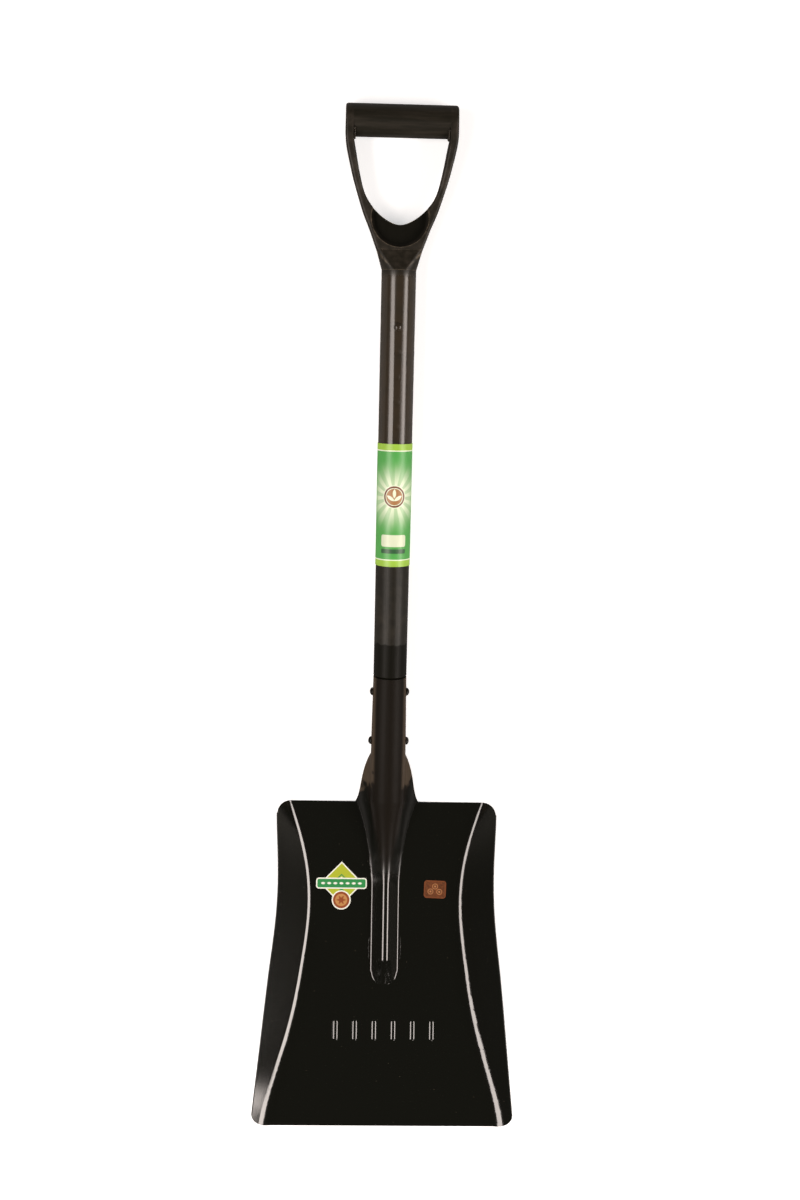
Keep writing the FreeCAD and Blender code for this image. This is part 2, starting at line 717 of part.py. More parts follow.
def make_yoke():
    """The handle yoke as one solid."""
    front = yoke_outline(doc.addObject("Sketcher::SketchObject", "yoke_front_outline"))
    side = yoke_side(doc.addObject("Sketcher::SketchObject", "yoke_side_outline"))
    side.Placement = Placement(Vector(), Rotation(Vector(0, 1, 0), Vector(0, 0, 1), Vector(1, 0, 0), "XYZ"))
    front_block = extruded("yoke_front", front, Vector(0, 0, 1), "2 * Sizes.grip_od")
    side_block = extruded("yoke_side", side, Vector(1, 0, 0), "Sizes.grip_width + 2 * Sizes.overrun")
    arms = combined("Part::MultiCommon", "yoke_arms", [front_block, side_block])
    doc.recompute()
    neck = doc.addObject("Part::Feature", "yoke_neck")
    neck.Shape = yoke_neck()
    shoulder = Vector(0, -size("grip_rise"), 0)
    tang = cylinder("yoke_tang", "Sizes.shaft_od / 2 - Sizes.shaft_wall - Sizes.fit_clearance",
                    "Sizes.tang_length", shoulder, Vector(0, -1, 0))
    solid = combined("Part::MultiFuse", "yoke_blank", [rounded(arms), neck, tang])
    recess_centre = Vector(0, -size("recess_drop"), 0)
    to_web = Vector(0, 0, size("web_thickness") / 2)
    tools = [cylinder("yoke_recess_front", "Sizes.recess_radius", "Sizes.grip_od",
                      recess_centre + to_web, Vector(0, 0, 1)),
             cylinder("yoke_recess_back", "Sizes.recess_radius", "Sizes.grip_od",
                      recess_centre - to_web, Vector(0, 0, -1)),
             cylinder("yoke_bore", "Sizes.shaft_od / 2 - Sizes.shaft_wall - Sizes.fit_clearance"
                      " - Sizes.tang_wall", "Sizes.tang_length + Sizes.bore_rise + Sizes.overrun",
                      shoulder + Vector(0, size("bore_rise"), 0), Vector(0, -1, 0)),
             cylinder("yoke_rivet_hole", "Sizes.rivet_shank / 2 + Sizes.fit_clearance", "2 * Sizes.shaft_od",
                      Vector(0, -size("grip_rise") - size("yoke_rivet_drop"), -size("shaft_od")),
                      Vector(0, 0, 1))]
    yoke = doc.addObject("Part::Cut", "handle_yoke")
    yoke.Base = solid
    yoke.Tool = combined("Part::MultiFuse", "yoke_cuts", tools)
    return yoke


def rounded(arms):
    """The arms with the edges of arms, ears and hand opening rounded over."""
    radius = size("arm_round")
    links = []
    for index, edge in enumerate(arms.Shape.Edges, start=1):
        box = edge.BoundBox
        outer = max(abs(box.XMin), abs(box.XMax)) >= ear_half - size("fit_clearance")
        along = box.YLength > size("arm_thickness") and box.ZLength < size("grip_od") - radius
        round_opening = box.XLength > ear_half and box.YLength > ear_half
        if (outer and along) or round_opening:
            links.append((index, radius, radius))
    fillet = doc.addObject("Part::Fillet", "yoke_rounded_arms")
    fillet.Base = arms
    fillet.Edges = links
    return fillet


yoke = make_yoke()
yoke.Label = "handle_yoke"
doc.recompute()
YOKE_FRAME = SHAFT_FRAME.multiply(Placement(Vector(0, grip_height, 0), Rotation()))
yoke.Placement = YOKE_FRAME


# Shaft tube: swaged at its lower end to go inside the socket.


def make_shaft():
    """The shaft tube, turned, then dimpled and drilled."""
    body = new_body("shaft_tube")
    wall = size("shaft_wall")
    rim = socket_rim_height
    swage = size("swage_length")
    cone = math.atan2(shaft_radius - swaged_radius, swage)
    inner_rise = wall * math.tan(cone / 2)
    swage_end = rim - size("swage_depth")
    corners = [(shaft_radius, shaft_top_height), (shaft_radius, rim + swage), (swaged_radius, rim),
               (swaged_radius, swage_end), (swaged_radius - wall, swage_end),
               (swaged_radius - wall, rim + inner_rise),
               (shaft_radius - wall, rim + swage + inner_rise), (shaft_radius - wall, shaft_top_height)]
    profile = add_outline(new_sketch(body, "shaft_profile", "XY_Plane"), [Vector(x, y, 0) for x, y in corners])
    add_revolution(body, profile, "shaft_turned", "V_Axis", "Sizes.full_turn")
    doc.recompute()
    dimple = body.newObject("PartDesign::SubtractiveSphere", "shaft_dimple")
    dimple.setExpression("Radius", "Sizes.dimple_radius")
    dimple.Placement = Placement(Vector(0, shaft_top_height - size("dimple_drop"),
                                        shaft_radius + size("dimple_radius") - size("dimple_depth")), Rotation())
    doc.recompute()
    row = body.newObject("PartDesign::LinearPattern", "shaft_dimples")
    row.Originals = [dimple]
    row.Direction = (origin_feature(body, "Y_Axis"), [""])
    row.Reversed = True
    row.Occurrences = DIMPLES
    row.setExpression("Length", "Sizes.dimple_pitch * %d" % (DIMPLES - 1))
    body.Tip = row
    doc.recompute()
    socket_holes = new_sketch(body, "socket_rivet_holes", "YZ_Plane")
    for height in (upper_rivet_height, lower_rivet_height):
        add_circle(socket_holes, height, 0, "Sizes.rivet_shank / 2 + Sizes.fit_clearance")
    add_through_hole(body, socket_holes, "socket_rivet_bores")
    doc.recompute()
    yoke_hole = new_sketch(body, "yoke_rivet_place", "XY_Plane")
    add_circle(yoke_hole, 0, shaft_top_height - size("yoke_rivet_drop"),
               "Sizes.rivet_shank / 2 + Sizes.fit_clearance")
    add_through_hole(body, yoke_hole, "yoke_rivet_bore")
    body.Placement = SHAFT_FRAME
    return body


def make_grip():
    """The grip tube between the yoke's ears."""
    body = new_body("grip_tube")
    ring = new_sketch(body, "grip_ring", "YZ_Plane")
    add_circle(ring, 0, 0, "Sizes.grip_od / 2")
    add_circle(ring, 0, 0, "Sizes.grip_od / 2 - Sizes.grip_wall")
    add_pad(body, ring, "grip_length", "Sizes.grip_width - 2 * Sizes.arm_thickness", SYMMETRIC)
    body.Placement = YOKE_FRAME
    return body


def make_weld(name, side):
    """A fillet weld under one end of the grip tube, in the corner with the ear."""
    body = new_body(name)
    leg = size("weld_leg")
    ear = side * ear_inner
    corners = [Vector(ear, -grip_radius, 0), Vector(ear, -grip_radius - leg, 0),
               (Vector(ear - side * leg * WELD_BULGE_SHARE, -grip_radius - leg * WELD_BULGE_SHARE, 0),
                Vector(ear - side * leg, -grip_radius, 0))]
    profile = add_outline(new_sketch(body, name + "_profile", "XY_Plane"), corners)
    add_revolution(body, profile, name + "_bead", "H_Axis", "Sizes.weld_angle", SYMMETRIC)
    body.Placement = YOKE_FRAME
    return body


def make_rivet(name, seat_span, placement):
    """A through rivet along Y with a domed head at both ends."""
    body = new_body(name)
    shank = size("rivet_shank") / 2
    seat = seat_span / 2
    upper = [Vector(shank, seat, 0), Vector(size("rivet_head") / 2, seat, 0)]
    for width, rise in RIVET_HEAD_SHARES:
        upper.append(Vector(width * size("rivet_head") / 2, seat + rise * size("rivet_head_height"), 0))
    lower = [Vector(corner.x, -corner.y, 0) for corner in upper[::-1]]
    profile = add_outline(new_sketch(body, name + "_profile", "XY_Plane"), lower + upper)
    add_revolution(body, profile, name + "_turned", "V_Axis", "Sizes.full_turn")
    body.Placement = placement
    return body


def shaft_place(height, direction):
    """A placement on the shaft's axis, with +Y turned to a direction of the shaft frame."""
    turn = Rotation(Vector(0, 1, 0), direction)
    return SHAFT_FRAME.multiply(Placement(Vector(0, height, 0), turn))


def make_label():
    """The printed film round the shaft, with its two ends nearly meeting at the back."""
    body = new_body("shaft_label")
    inner = shaft_radius + size("label_gap")
    outer = inner + size("label_thickness")
    half = size("label_length") / 2
    corners = [Vector(inner, -half, 0), Vector(outer, -half, 0), Vector(outer, half, 0), Vector(inner, half, 0)]
    profile = add_outline(new_sketch(body, "label_profile", "YZ_Plane"),
                          [Vector(corner.y, corner.x, 0) for corner in corners])
    add_revolution(body, profile, "label_wrap", "H_Axis", "Sizes.label_angle", SYMMETRIC)
    body.Placement = shaft_place(shaft_top_height - size("label_drop") - half, Vector(0, 1, 0))
    return body


def sticker_frame(x, drop, turn):
    """A place on the pan's load face."""
    place = Placement(Vector(x, -drop, size("film_gap")), Rotation(Vector(0, 0, 1), turn))
    return BLADE_FRAME.multiply(place)


def rounded_rectangle(sketch, width, height, radius):
    """A rectangle about the origin with rounded corners."""
    half_x = width / 2
    half_y = height / 2
    cut = radius * (1 - math.sqrt(0.5))
    corners = []
    for sx, sy, upright_first in ((1, -1, False), (1, 1, True), (-1, 1, False), (-1, -1, True)):
        beside = Vector(sx * half_x, sy * (half_y - radius), 0)
        over = Vector(sx * (half_x - radius), sy * half_y, 0)
        middle = Vector(sx * (half_x - cut), sy * (half_y - cut), 0)
        first, second = (beside, over) if upright_first else (over, beside)
        corners += [first, (middle, second)]
    return add_outline(sketch, corners)


def make_diamond_sticker():
    """The larger sticker: a diamond with a band across it and a round lobe below."""
    body = new_body("diamond_sticker")
    half_width = size("diamond_width") / 2
    half_height = size("diamond_height") / 2
    tips = [Vector(half_width, 0, 0), Vector(0, half_height, 0), Vector(-half_width, 0, 0),
            Vector(0, -half_height, 0)]
    diamond = add_outline(new_sketch(body, "diamond_outline", "XY_Plane"), tips)
    add_pad(body, diamond, "diamond_film", "Sizes.sticker_thickness")
    doc.recompute()
    band = rounded_rectangle(new_sketch(body, "band_outline", "XY_Plane"),
                             size("band_width"), size("band_height"), size("band_round"))
    add_pad(body, band, "band_film", "Sizes.sticker_thickness")
    doc.recompute()
    lobe = new_sketch(body, "lobe_outline", "XY_Plane")
    add_circle(lobe, 0, -size("lobe_drop"), "Sizes.lobe_radius")
    add_pad(body, lobe, "lobe_film", "Sizes.sticker_thickness")
    body.Placement = sticker_frame(size("diamond_x"), size("diamond_drop"), 0)
    return body


def make_copper_sticker():
    """The small copper-coloured sticker."""
    body = new_body("copper_sticker")
    outline = rounded_rectangle(new_sketch(body, "copper_outline", "XY_Plane"),
                                size("copper_width"), size("copper_height"), size("copper_corner"))
    add_pad(body, outline, "copper_film", "Sizes.sticker_thickness")
    body.Placement = sticker_frame(size("copper_x"), size("copper_drop"), size("copper_turn"))
    return body


across_shaft = Vector(1, 0, 0)
through_shaft = Vector(0, 0, 1)


def socket_grip(height):
    """The length between the heads of a socket rivet."""
    return 2 * (socket_radius(height) + size("fit_clearance"))


parts = [
    blade,
    yoke,
    make_shaft(),
    make_grip(),
    make_weld("grip_weld_left", -1),
    make_weld("grip_weld_right", 1),
    make_rivet("upper_socket_rivet", socket_grip(upper_rivet_height),
               shaft_place(upper_rivet_height, across_shaft)),
    make_rivet("lower_socket_rivet", socket_grip(lower_rivet_height),
               shaft_place(lower_rivet_height, across_shaft)),
    make_rivet("yoke_rivet", size("shaft_od") + 2 * size("fit_clearance"),
               shaft_place(shaft_top_height - size("yoke_rivet_drop"), through_shaft)),
    make_label(),
    make_diamond_sticker(),
    make_copper_sticker(),
]
doc.recompute()

for item in doc.Objects:
    if "Invalid" in item.State or "Error" in item.State:
        raise RuntimeError("%s failed: %s" % (item.Name, item.State))
for part in parts:
    if part.Shape.isNull() or not part.Shape.isValid():
        raise RuntimeError("%s has no valid shape" % part.Label)

os.makedirs("parts", exist_ok=True)
for part in parts:
    part.Shape.exportStep("parts/%s.step" % part.Label)
    print("%-20s %d solid, %9.0f cubic mm" % (part.Label, len(part.Shape.Solids), part.Shape.Volume))
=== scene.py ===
import logging
import math
from dataclasses import dataclass, field
from enum import Enum
from functools import partial, reduce
from typing import Any, Callable, Dict, List, Optional, Sequence, Tuple, Union

import bpy
from mathutils import Matrix, Vector


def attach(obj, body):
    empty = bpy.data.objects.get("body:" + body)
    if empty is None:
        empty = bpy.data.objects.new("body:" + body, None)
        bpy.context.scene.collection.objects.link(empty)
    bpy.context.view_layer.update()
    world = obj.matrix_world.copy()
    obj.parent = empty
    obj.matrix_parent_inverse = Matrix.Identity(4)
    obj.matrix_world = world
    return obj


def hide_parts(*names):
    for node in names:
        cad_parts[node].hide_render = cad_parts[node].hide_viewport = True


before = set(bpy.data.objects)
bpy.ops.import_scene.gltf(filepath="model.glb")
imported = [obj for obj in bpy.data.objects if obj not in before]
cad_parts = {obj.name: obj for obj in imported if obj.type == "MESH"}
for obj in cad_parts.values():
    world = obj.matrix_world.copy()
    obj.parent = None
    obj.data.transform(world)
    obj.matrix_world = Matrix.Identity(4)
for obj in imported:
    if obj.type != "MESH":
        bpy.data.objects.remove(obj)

# An all-steel square mouth shovel, seen from over its load side on a pale floor.
# Lengths are in millimetres where a name ends in _mm, and in metres elsewhere.

MM = 0.001
IMAGE_HEIGHT_PX = 1200
SENSOR_MM = 36.0
SOFT_EDGE_MM = 0.12
SKIN_PASSES = 2
LAMP_COLOUR = "#fff4ed"
WALL_COLOUR = "#fff3e6"
LOG = logging.getLogger("shovel")

Colour = Tuple[float, float, float, float]
Pair = Tuple[float, float]
Triple = Tuple[float, float, float]
Tree = bpy.types.NodeTree
Node = bpy.types.Node
Piece = bpy.types.Object
# add_node with its tree given
Adder = Callable[..., Node]


def paint(code: str) -> Colour:
    """Turns an sRGB hex value to a linear colour.

    Args:
        code: Six hex digits, with or without a leading #.

    Returns:
        Red, green, blue and an alpha of one.
    """
    parts = [int(code.lstrip("#")[i:i + 2], 16) / 255 for i in (0, 2, 4)]
    linear = [c / 12.92 if c <= 0.04045 else ((c + 0.055) / 1.055) ** 2.4 for c in parts]
    return linear[0], linear[1], linear[2], 1.0


def grey(level: float) -> Colour:
    """A grey of that linear level."""
    return level, level, level, 1.0


def add_node(tree: Tree, kind: str, settings: Optional[Dict[str, Any]] = None, **inputs: Any) -> Node:
    """Adds one node with its settings, and fills or links its inputs.

    Args:
        tree: The node tree that gets it.
        kind: The node's type, without the leading ShaderNode.
        settings: The node's own properties.
        inputs: Values by socket name, with _ for a blank; a name such as in1 counts the sockets from
            zero, and From and To take both ends of a ramp as a pair. A node links its first open output,
            and a (node, output name) pair links that one.

    Returns:
        The new node.
    """
    node = tree.nodes.new("ShaderNode" + kind)
    for name, value in (settings or {}).items():
        setattr(node, name, value)
    for span in ("From", "To"):
        if span in inputs:
            inputs[span + "_Min"], inputs[span + "_Max"] = inputs.pop(span)
    sockets = [socket for socket in node.inputs if socket.enabled]
    for name, value in inputs.items():
        if name[:2] == "in" and name[2:].isdigit():
            socket = node.inputs[int(name[2:])]
        else:
            socket = next(one for one in sockets if one.name == name.replace("_", " "))
        if isinstance(value, Node):
            tree.links.new(next(out for out in value.outputs if out.enabled), socket)
        elif isinstance(value, tuple) and isinstance(value[0], Node):
            tree.links.new(value[0].outputs[value[1]], socket)
        else:
            socket.default_value = value
    return node


@dataclass(frozen=True)
class Relief:
    """How strongly a pattern stands out of a surface, and how far."""

    strength: float
    depth_mm: float

    def inputs(self) -> Dict[str, float]:
        """Both values as add_node takes them."""
        return {"Strength": self.strength, "Distance": self.depth_mm * MM}


@dataclass(frozen=True)
class Slant:
    """One of the shovel's two frames, as the construction model places them: an origin and a turn about X."""

    origin_mm: Triple
    turn_deg: float

    def point(self, x: float, y: float, z: float) -> Vector:
        """A point of this frame in metres, from millimetres."""
        turn = Matrix.Rotation(math.radians(self.turn_deg), 3, "X")
        return (turn @ Vector((x, y, z)) + Vector(self.origin_mm)) * MM

    def matrix(self, x: float, y: float, z: float) -> Matrix:
        """The placement of this frame's axes at one of its points."""
        return Matrix.Translation(self.point(x, y, z)) @ Matrix.Rotation(math.radians(self.turn_deg), 4, "X")

    def millimetres(self, add: Adder, x: float = 0.0, y: float = 0.0, z: float = 0.0) -> Node:
        """Object coordinates as millimetres of this frame, counted from one of its points."""
        place = add("TexCoord")
        return add("Mapping", {"vector_type": "TEXTURE"}, Vector=(place, "Object"),
                   Location=self.point(x, y, z), Rotation=(math.radians(self.turn_deg), 0.0, 0.0),
                   Scale=(MM, MM, MM))


# +Y of the shaft's frame runs up the shaft, and -Y of the blade's frame down the pan. +Z is the load side.
SHAFT = Slant((0.0, -184.03, 18.62), -0.2714)
BLADE = Slant((0.0, -188.63, 1.74), -15.2714)
GRIP_AT_MM = 679.0

ADD = {"operation": "ADD"}
SUBTRACT = {"operation": "SUBTRACT"}
MULTIPLY = {"operation": "MULTIPLY"}
ABSOLUTE = {"operation": "ABSOLUTE"}
LEAST = {"operation": "MINIMUM"}
MOST = {"operation": "MAXIMUM"}
LENGTH = {"operation": "LENGTH"}
OVER = {"operation": "GREATER_THAN"}
UNDER = {"operation": "LESS_THAN"}
ANGLE = {"operation": "ARCTAN2"}
SMOOTH = {"interpolation_type": "SMOOTHERSTEP"}
BLEND = {"data_type": "RGBA"}
PLACED = {"vector_type": "TEXTURE"}


# Shapes of the prints: each gives the distance in millimetres outside its edge.


def panel(add: Adder, place: Node, middle: Pair, half: Pair, corner: float) -> Node:
    """A rectangle with rounded corners.

    Args:
        add: Adds a node.
        place: Millimetres on the print.
        middle: The rectangle's middle.
        half: Half its width and height.
        corner: The radius of its corners.

    Returns:
        The distance outside its edge.
    """
    off = add("VectorMath", SUBTRACT, in0=place, in1=(middle[0], middle[1], 0.0))
    flat = add("VectorMath", MULTIPLY, in0=off, in1=(1.0, 1.0, 0.0))
    side = add("VectorMath", ABSOLUTE, in0=flat)
    past = add("VectorMath", SUBTRACT, in0=side, in1=(half[0] - corner, half[1] - corner, 0.0))
    out = add("VectorMath", MOST, in0=past, in1=(0.0, 0.0, 0.0))
    reach = add("VectorMath", LENGTH, in0=out)
    part = add("SeparateXYZ", Vector=past)
    nearer = add("Math", MOST, in0=(part, "X"), in1=(part, "Y"))
    within = add("Math", LEAST, in0=nearer, in1=0.0)
    away = add("Math", ADD, in0=(reach, "Value"), in1=within)
    return add("Math", SUBTRACT, in0=away, in1=corner)


def disc(add: Adder, place: Node, middle: Pair, radius: float) -> Node:
    """A disc, as the distance outside its edge."""
    return panel(add, place, middle, (radius, radius), radius)


def leaf(add: Adder, place: Node, middle: Pair, half: Pair, turn_deg: float) -> Node:
    """A pointed leaf: what two equal discs share.

    Args:
        add: Adds a node.
        place: Millimetres on the print.
        middle: The leaf's middle.
        half: Half its length and width.
        turn_deg: How far its length is turned from X.

    Returns:
        The distance outside its edge.
    """
    turned = add("Mapping", PLACED, Vector=place, Location=(middle[0], middle[1], 0.0),
                 Rotation=(0.0, 0.0, math.radians(turn_deg)))
    radius = (half[0] ** 2 + half[1] ** 2) / (2 * half[1])
    upper = disc(add, turned, (0.0, radius - half[1]), radius)
    lower = disc(add, turned, (0.0, half[1] - radius), radius)
    return add("Math", MOST, in0=upper, in1=lower)


def joined(add: Adder, shapes: Sequence[Node]) -> Node:
    """Several shapes as one: the distance outside the nearest of them."""
    return reduce(lambda whole, shape: add("Math", LEAST, in0=whole, in1=shape), shapes)


def inked(add: Adder, ground: Union[Node, Colour], shape: Node, ink: str, inset: float = 0.0) -> Node:
    """The colours with a shape printed over them, from so many millimetres inside its edge."""
    cover = add("MapRange", Value=shape, From=(SOFT_EDGE_MM - inset, -SOFT_EDGE_MM - inset))
    return add("Mix", BLEND, Factor=cover, A=ground, B=paint(ink))


def coated(add: Adder, ground: str, coats: Sequence[Tuple[Node, str]]) -> Node:
    """The colours of a ground with coats laid over it in turn, each where its share is one."""
    return reduce(lambda under, coat: add("Mix", BLEND, Factor=coat[0], A=under, B=paint(coat[1])),
                  coats, paint(ground))


def ragged(add: Adder, part: Node, noise: Node, wander: float, edge: Pair) -> Node:
    """Draws a soft edge across the shovel that wanders with a noise.

    Args:
        add: Adds a node.
        part: Millimetres in one of the two frames, split.
        noise: What the edge wanders with.
        wander: How far it wanders either way, in millimetres.
        edge: Where it starts and where it is full.

    Returns:
        Zero before the edge and one past it.
    """
    drift = add("MapRange", Value=noise, To=(-wander, wander))
    along = add("Math", ADD, in0=(part, "Y"), in1=drift)
    return add("MapRange", SMOOTH, Value=along, From=edge)


# Finishes. A pair of numbers with a name that ends in _mm says where a zone starts and where it is full.


@dataclass(frozen=True)
class Finish:
    """A finish that makes one material."""

    name: str

    def build(self) -> bpy.types.Material:
        """Makes the material and joins its shader to the output.

        Returns:
            The new material.
        """
        material = bpy.data.materials.new(self.name)
        material.use_nodes = True
        tree = material.node_tree
        tree.nodes.clear()
        add = partial(add_node, tree)
        output = add("OutputMaterial")
        tree.links.new(self.shader(add).outputs[0], output.inputs["Surface"])
        return material

    def shader(self, add: Adder) -> Node:
        """Draws the finish.

        Args:
            add: Adds a node.

        Returns:
            The finished shader.
        """
        raise NotImplementedError


@dataclass(frozen=True)
class StovedEnamel(Finish):
    """Black enamel on pressed steel, dipped and stoved.

    On the pan it is near black and looks wet, with faint orange peel, slow ripples of the pressed sheet and
    a few dust nibs. On the neck and socket, which stood upright in the oven, it ran thin: dull, browner on
    the raised parts, with a paler brown painted sheen along the socket's sides. Roughness, specular and
    coat hold the pan's value and the neck's. Real peel and nibs are finer than a pixel of the picture, so
    both are drawn coarser.
    """

    pan_colour: str = "#0d0e0a"
    neck_colour: str = "#16120d"
    # The paler brown on the socket's sides is a painted sheen.
    side_sheen_colour: str = "#463c31"
    nib_colour: str = "#4a4438"
    roughness: Pair = (0.13, 0.5)
    specular: Pair = (0.5, 0.09)
    coat: Pair = (1.0, 0.0)
    coat_roughness: float = 0.1
    enamel_ior: float = 1.5
    run_mm: float = 18.0
    thin_up_mm: Pair = (-95.0, -45.0)
    thin_wander_mm: float = 14.0
    thin_side_mm: Pair = (48.0, 40.0)
    off_pan_mm: Pair = (0.03, 0.25)
    raised_mm: Pair = (4.0, 16.0)
    sheen_side_mm: Pair = (12.5, 16.5)
    sheen_up_mm: Pair = (14.0, 26.0)
    sheen_wander_mm: float = 40.0
    crown_mm: Pair = (0.0, 3.53)
    flank_lean: float = 0.6
    foot_mm: Pair = (15.2, 13.0)
    rib_half_mm: float = 16.2
    rib_start_mm: Pair = (-70.0, -94.0)
    rib_stop_mm: Pair = (-179.0, -173.0)
    nose_mm: Pair = (-158.0, -168.0)
    nose_side_mm: Pair = (9.0, 6.0)
    nose_lean: float = 0.5
    toe_end_mm: float = -188.0
    toe_half_mm: float = 8.0
    peel_mm: float = 3.0
    peel: Relief = Relief(0.15, 0.02)
    ripple_mm: float = 55.0
    ripple: Relief = Relief(0.35, 0.4)
    nib_spacing_mm: float = 6.0
    nib_mm: float = 0.3
    cells_without_nib: float = 0.8
    nib: Relief = Relief(0.3, 0.05)

    def rib_share(self, add: Adder, part: Node, across: Node, faces: Node) -> Node:
        """Finds the ridge on the load side, with its blunt toe.

        Args:
            add: Adds a node.
            part: Millimetres in the blade's frame, split.
            across: The distance from the blade's middle.
            faces: The surface's own directions.

        Returns:
            One on the ridge and zero elsewhere.
        """
        start = add("MapRange", SMOOTH, Value=(part, "Y"), From=self.rib_start_mm)
        stop = add("MapRange", SMOOTH, Value=(part, "Y"), From=self.rib_stop_mm)
        toe = add("Math", OVER, in0=(part, "Y"), in1=self.toe_end_mm)
        inner = add("Math", UNDER, in0=across, in1=self.toe_half_mm)
        blunt = add("Math", MULTIPLY, in0=toe, in1=inner)
        reach = add("Math", MOST, in0=stop, in1=blunt)
        length = add("Math", MULTIPLY, in0=start, in1=reach)
        within = add("Math", UNDER, in0=across, in1=self.rib_half_mm)
        there = add("Math", MULTIPLY, in0=length, in1=within)
        facing = add("SeparateXYZ", Vector=(faces, "Normal"))
        front = add("Math", OVER, in0=(facing, "Z"), in1=0.0)
        return add("Math", MULTIPLY, in0=there, in1=front)

    def rib_normal(self, add: Adder, part: Node, across: Node) -> Node:
        """Keeps the shine straight along the pressed ridge: a round crown, plane flanks and a hollow foot.

        Args:
            add: Adds a node.
            part: Millimetres in the blade's frame, split.
            across: The distance from the blade's middle.

        Returns:
            The direction that the surface faces.
        """
        crown = add("MapRange", Value=across, From=self.crown_mm, To=(0.0, self.flank_lean))
        foot = add("MapRange", Value=across, From=self.foot_mm)
        lean = add("Math", MULTIPLY, in0=crown, in1=foot)
        side = add("Math", {"operation": "SIGN"}, in0=(part, "X"))
        outward = add("Math", MULTIPLY, in0=lean, in1=side)
        square = add("Math", MULTIPLY, in0=lean, in1=lean)
        rest = add("Math", SUBTRACT, in0=1.0, in1=square)
        rise = add("Math", {"operation": "SQRT"}, in0=rest)
        falling = add("MapRange", SMOOTH, Value=(part, "Y"), From=self.nose_mm, To=(0.0, -self.nose_lean))
        middle = add("MapRange", SMOOTH, Value=across, From=self.nose_side_mm)
        nose = add("Math", MULTIPLY, in0=falling, in1=middle)
        pressed = add("CombineXYZ", X=outward, Y=nose, Z=rise)
        turned = add("Mapping", {"vector_type": "NORMAL"}, Vector=pressed,
                     Rotation=(math.radians(BLADE.turn_deg), 0.0, 0.0))
        faces = add("NewGeometry")
        share = self.rib_share(add, part, across, faces)
        return add("Mix", {"data_type": "VECTOR"}, Factor=share, A=(faces, "Normal"), B=turned)

    def thin_share(self, add: Adder, part: Node, across: Node, runs: Node) -> Node:
        """Finds where the enamel ran thin: the neck and socket, off the flat pan.

        Args:
            add: Adds a node.
            part: Millimetres in the blade's frame, split.
            across: The distance from the blade's middle.
            runs: Noise for the wandering edge.

        Returns:
            One where it is thin and zero on the pan.
        """
        up = ragged(add, part, runs, self.thin_wander_mm, self.thin_up_mm)
        near = add("MapRange", SMOOTH, Value=across, From=self.thin_side_mm)
        beside = add("Math", MULTIPLY, in0=up, in1=near)
        off_pan = add("MapRange", SMOOTH, Value=(part, "Z"), From=self.off_pan_mm)
        return add("Math", MULTIPLY, in0=beside, in1=off_pan)

    def nib_share(self, add: Adder, place: Node) -> Node:
        """Scatters the dust nibs.

        Args:
            add: Adds a node.
            place: Millimetres in the blade's frame.

        Returns:
            One on a nib and zero elsewhere.
        """
        cells = add("TexVoronoi", Vector=place, Scale=1 / self.nib_spacing_mm)
        close = add("Math", UNDER, in0=cells, in1=self.nib_mm / self.nib_spacing_mm)
        drawn = add("SeparateColor", Color=(cells, "Color"))
        few = add("Math", OVER, in0=(drawn, "Red"), in1=self.cells_without_nib)
        return add("Math", MULTIPLY, in0=close, in1=few)

    def shader(self, add: Adder) -> Node:
        """Draws the enamel, its thin part up the neck, and its relief.

        Args:
            add: Adds a node.

        Returns:
            The finished shader.
        """
        place = BLADE.millimetres(add)
        part = add("SeparateXYZ", Vector=place)
        across = add("Math", ABSOLUTE, in0=(part, "X"))
        runs = add("TexNoise", Vector=place, Scale=1 / self.run_mm, Detail=3.0)
        thin = self.thin_share(add, part, across, runs)
        raised = add("MapRange", SMOOTH, Value=(part, "Z"), From=self.raised_mm)
        brown = add("Math", MULTIPLY, in0=thin, in1=raised)
        # Painted sheen along the socket's sides.
        flank = add("MapRange", SMOOTH, Value=across, From=self.sheen_side_mm)
        high = ragged(add, part, runs, self.sheen_wander_mm, self.sheen_up_mm)
        side_sheen = add("Math", MULTIPLY, in0=flank, in1=high)
        nibs = self.nib_share(add, place)

        colour = coated(add, self.pan_colour, ((brown, self.neck_colour), (side_sheen, self.side_sheen_colour),
                                               (nibs, self.nib_colour)))
        rough, shine, coat = (add("MapRange", Value=thin, To=ends)
                              for ends in (self.roughness, self.specular, self.coat))
        slow = add("TexNoise", Vector=place, Scale=1 / self.ripple_mm, Detail=1.0)
        fine = add("TexNoise", Vector=place, Scale=1 / self.peel_mm, Detail=1.0)
        facing = self.rib_normal(add, part, across)
        for height, relief in ((slow, self.ripple), (fine, self.peel), (nibs, self.nib)):
            facing = add("Bump", Height=height, Normal=facing, **relief.inputs())
        return add("BsdfPrincipled", Base_Color=colour, Roughness=rough, IOR=self.enamel_ior,
                   Specular_IOR_Level=shine, Normal=facing, Coat_Weight=coat,
                   Coat_Roughness=self.coat_roughness, Coat_IOR=self.enamel_ior, Coat_Normal=facing)


class EdgeWearAndHighlight(Enum):
    """How strongly a piece's sharp edges are painted paler brown: partly rubbed paint, partly painted highlight.
    """

    NONE = 0.0
    LIGHT = 0.45
    HANDLED = 0.9


class Drawn(Enum):
    """Which way drawing lines and brush marks run: a line's size in mm along each axis, a mottle's stretch."""

    UP_THE_SHAFT = ((1.4, 90.0, 1.4), (1.0, 1.0, 1.0))
    ALONG_THE_GRIP = ((70.0, 2.0, 2.0), (6.0, 0.45, 0.45))


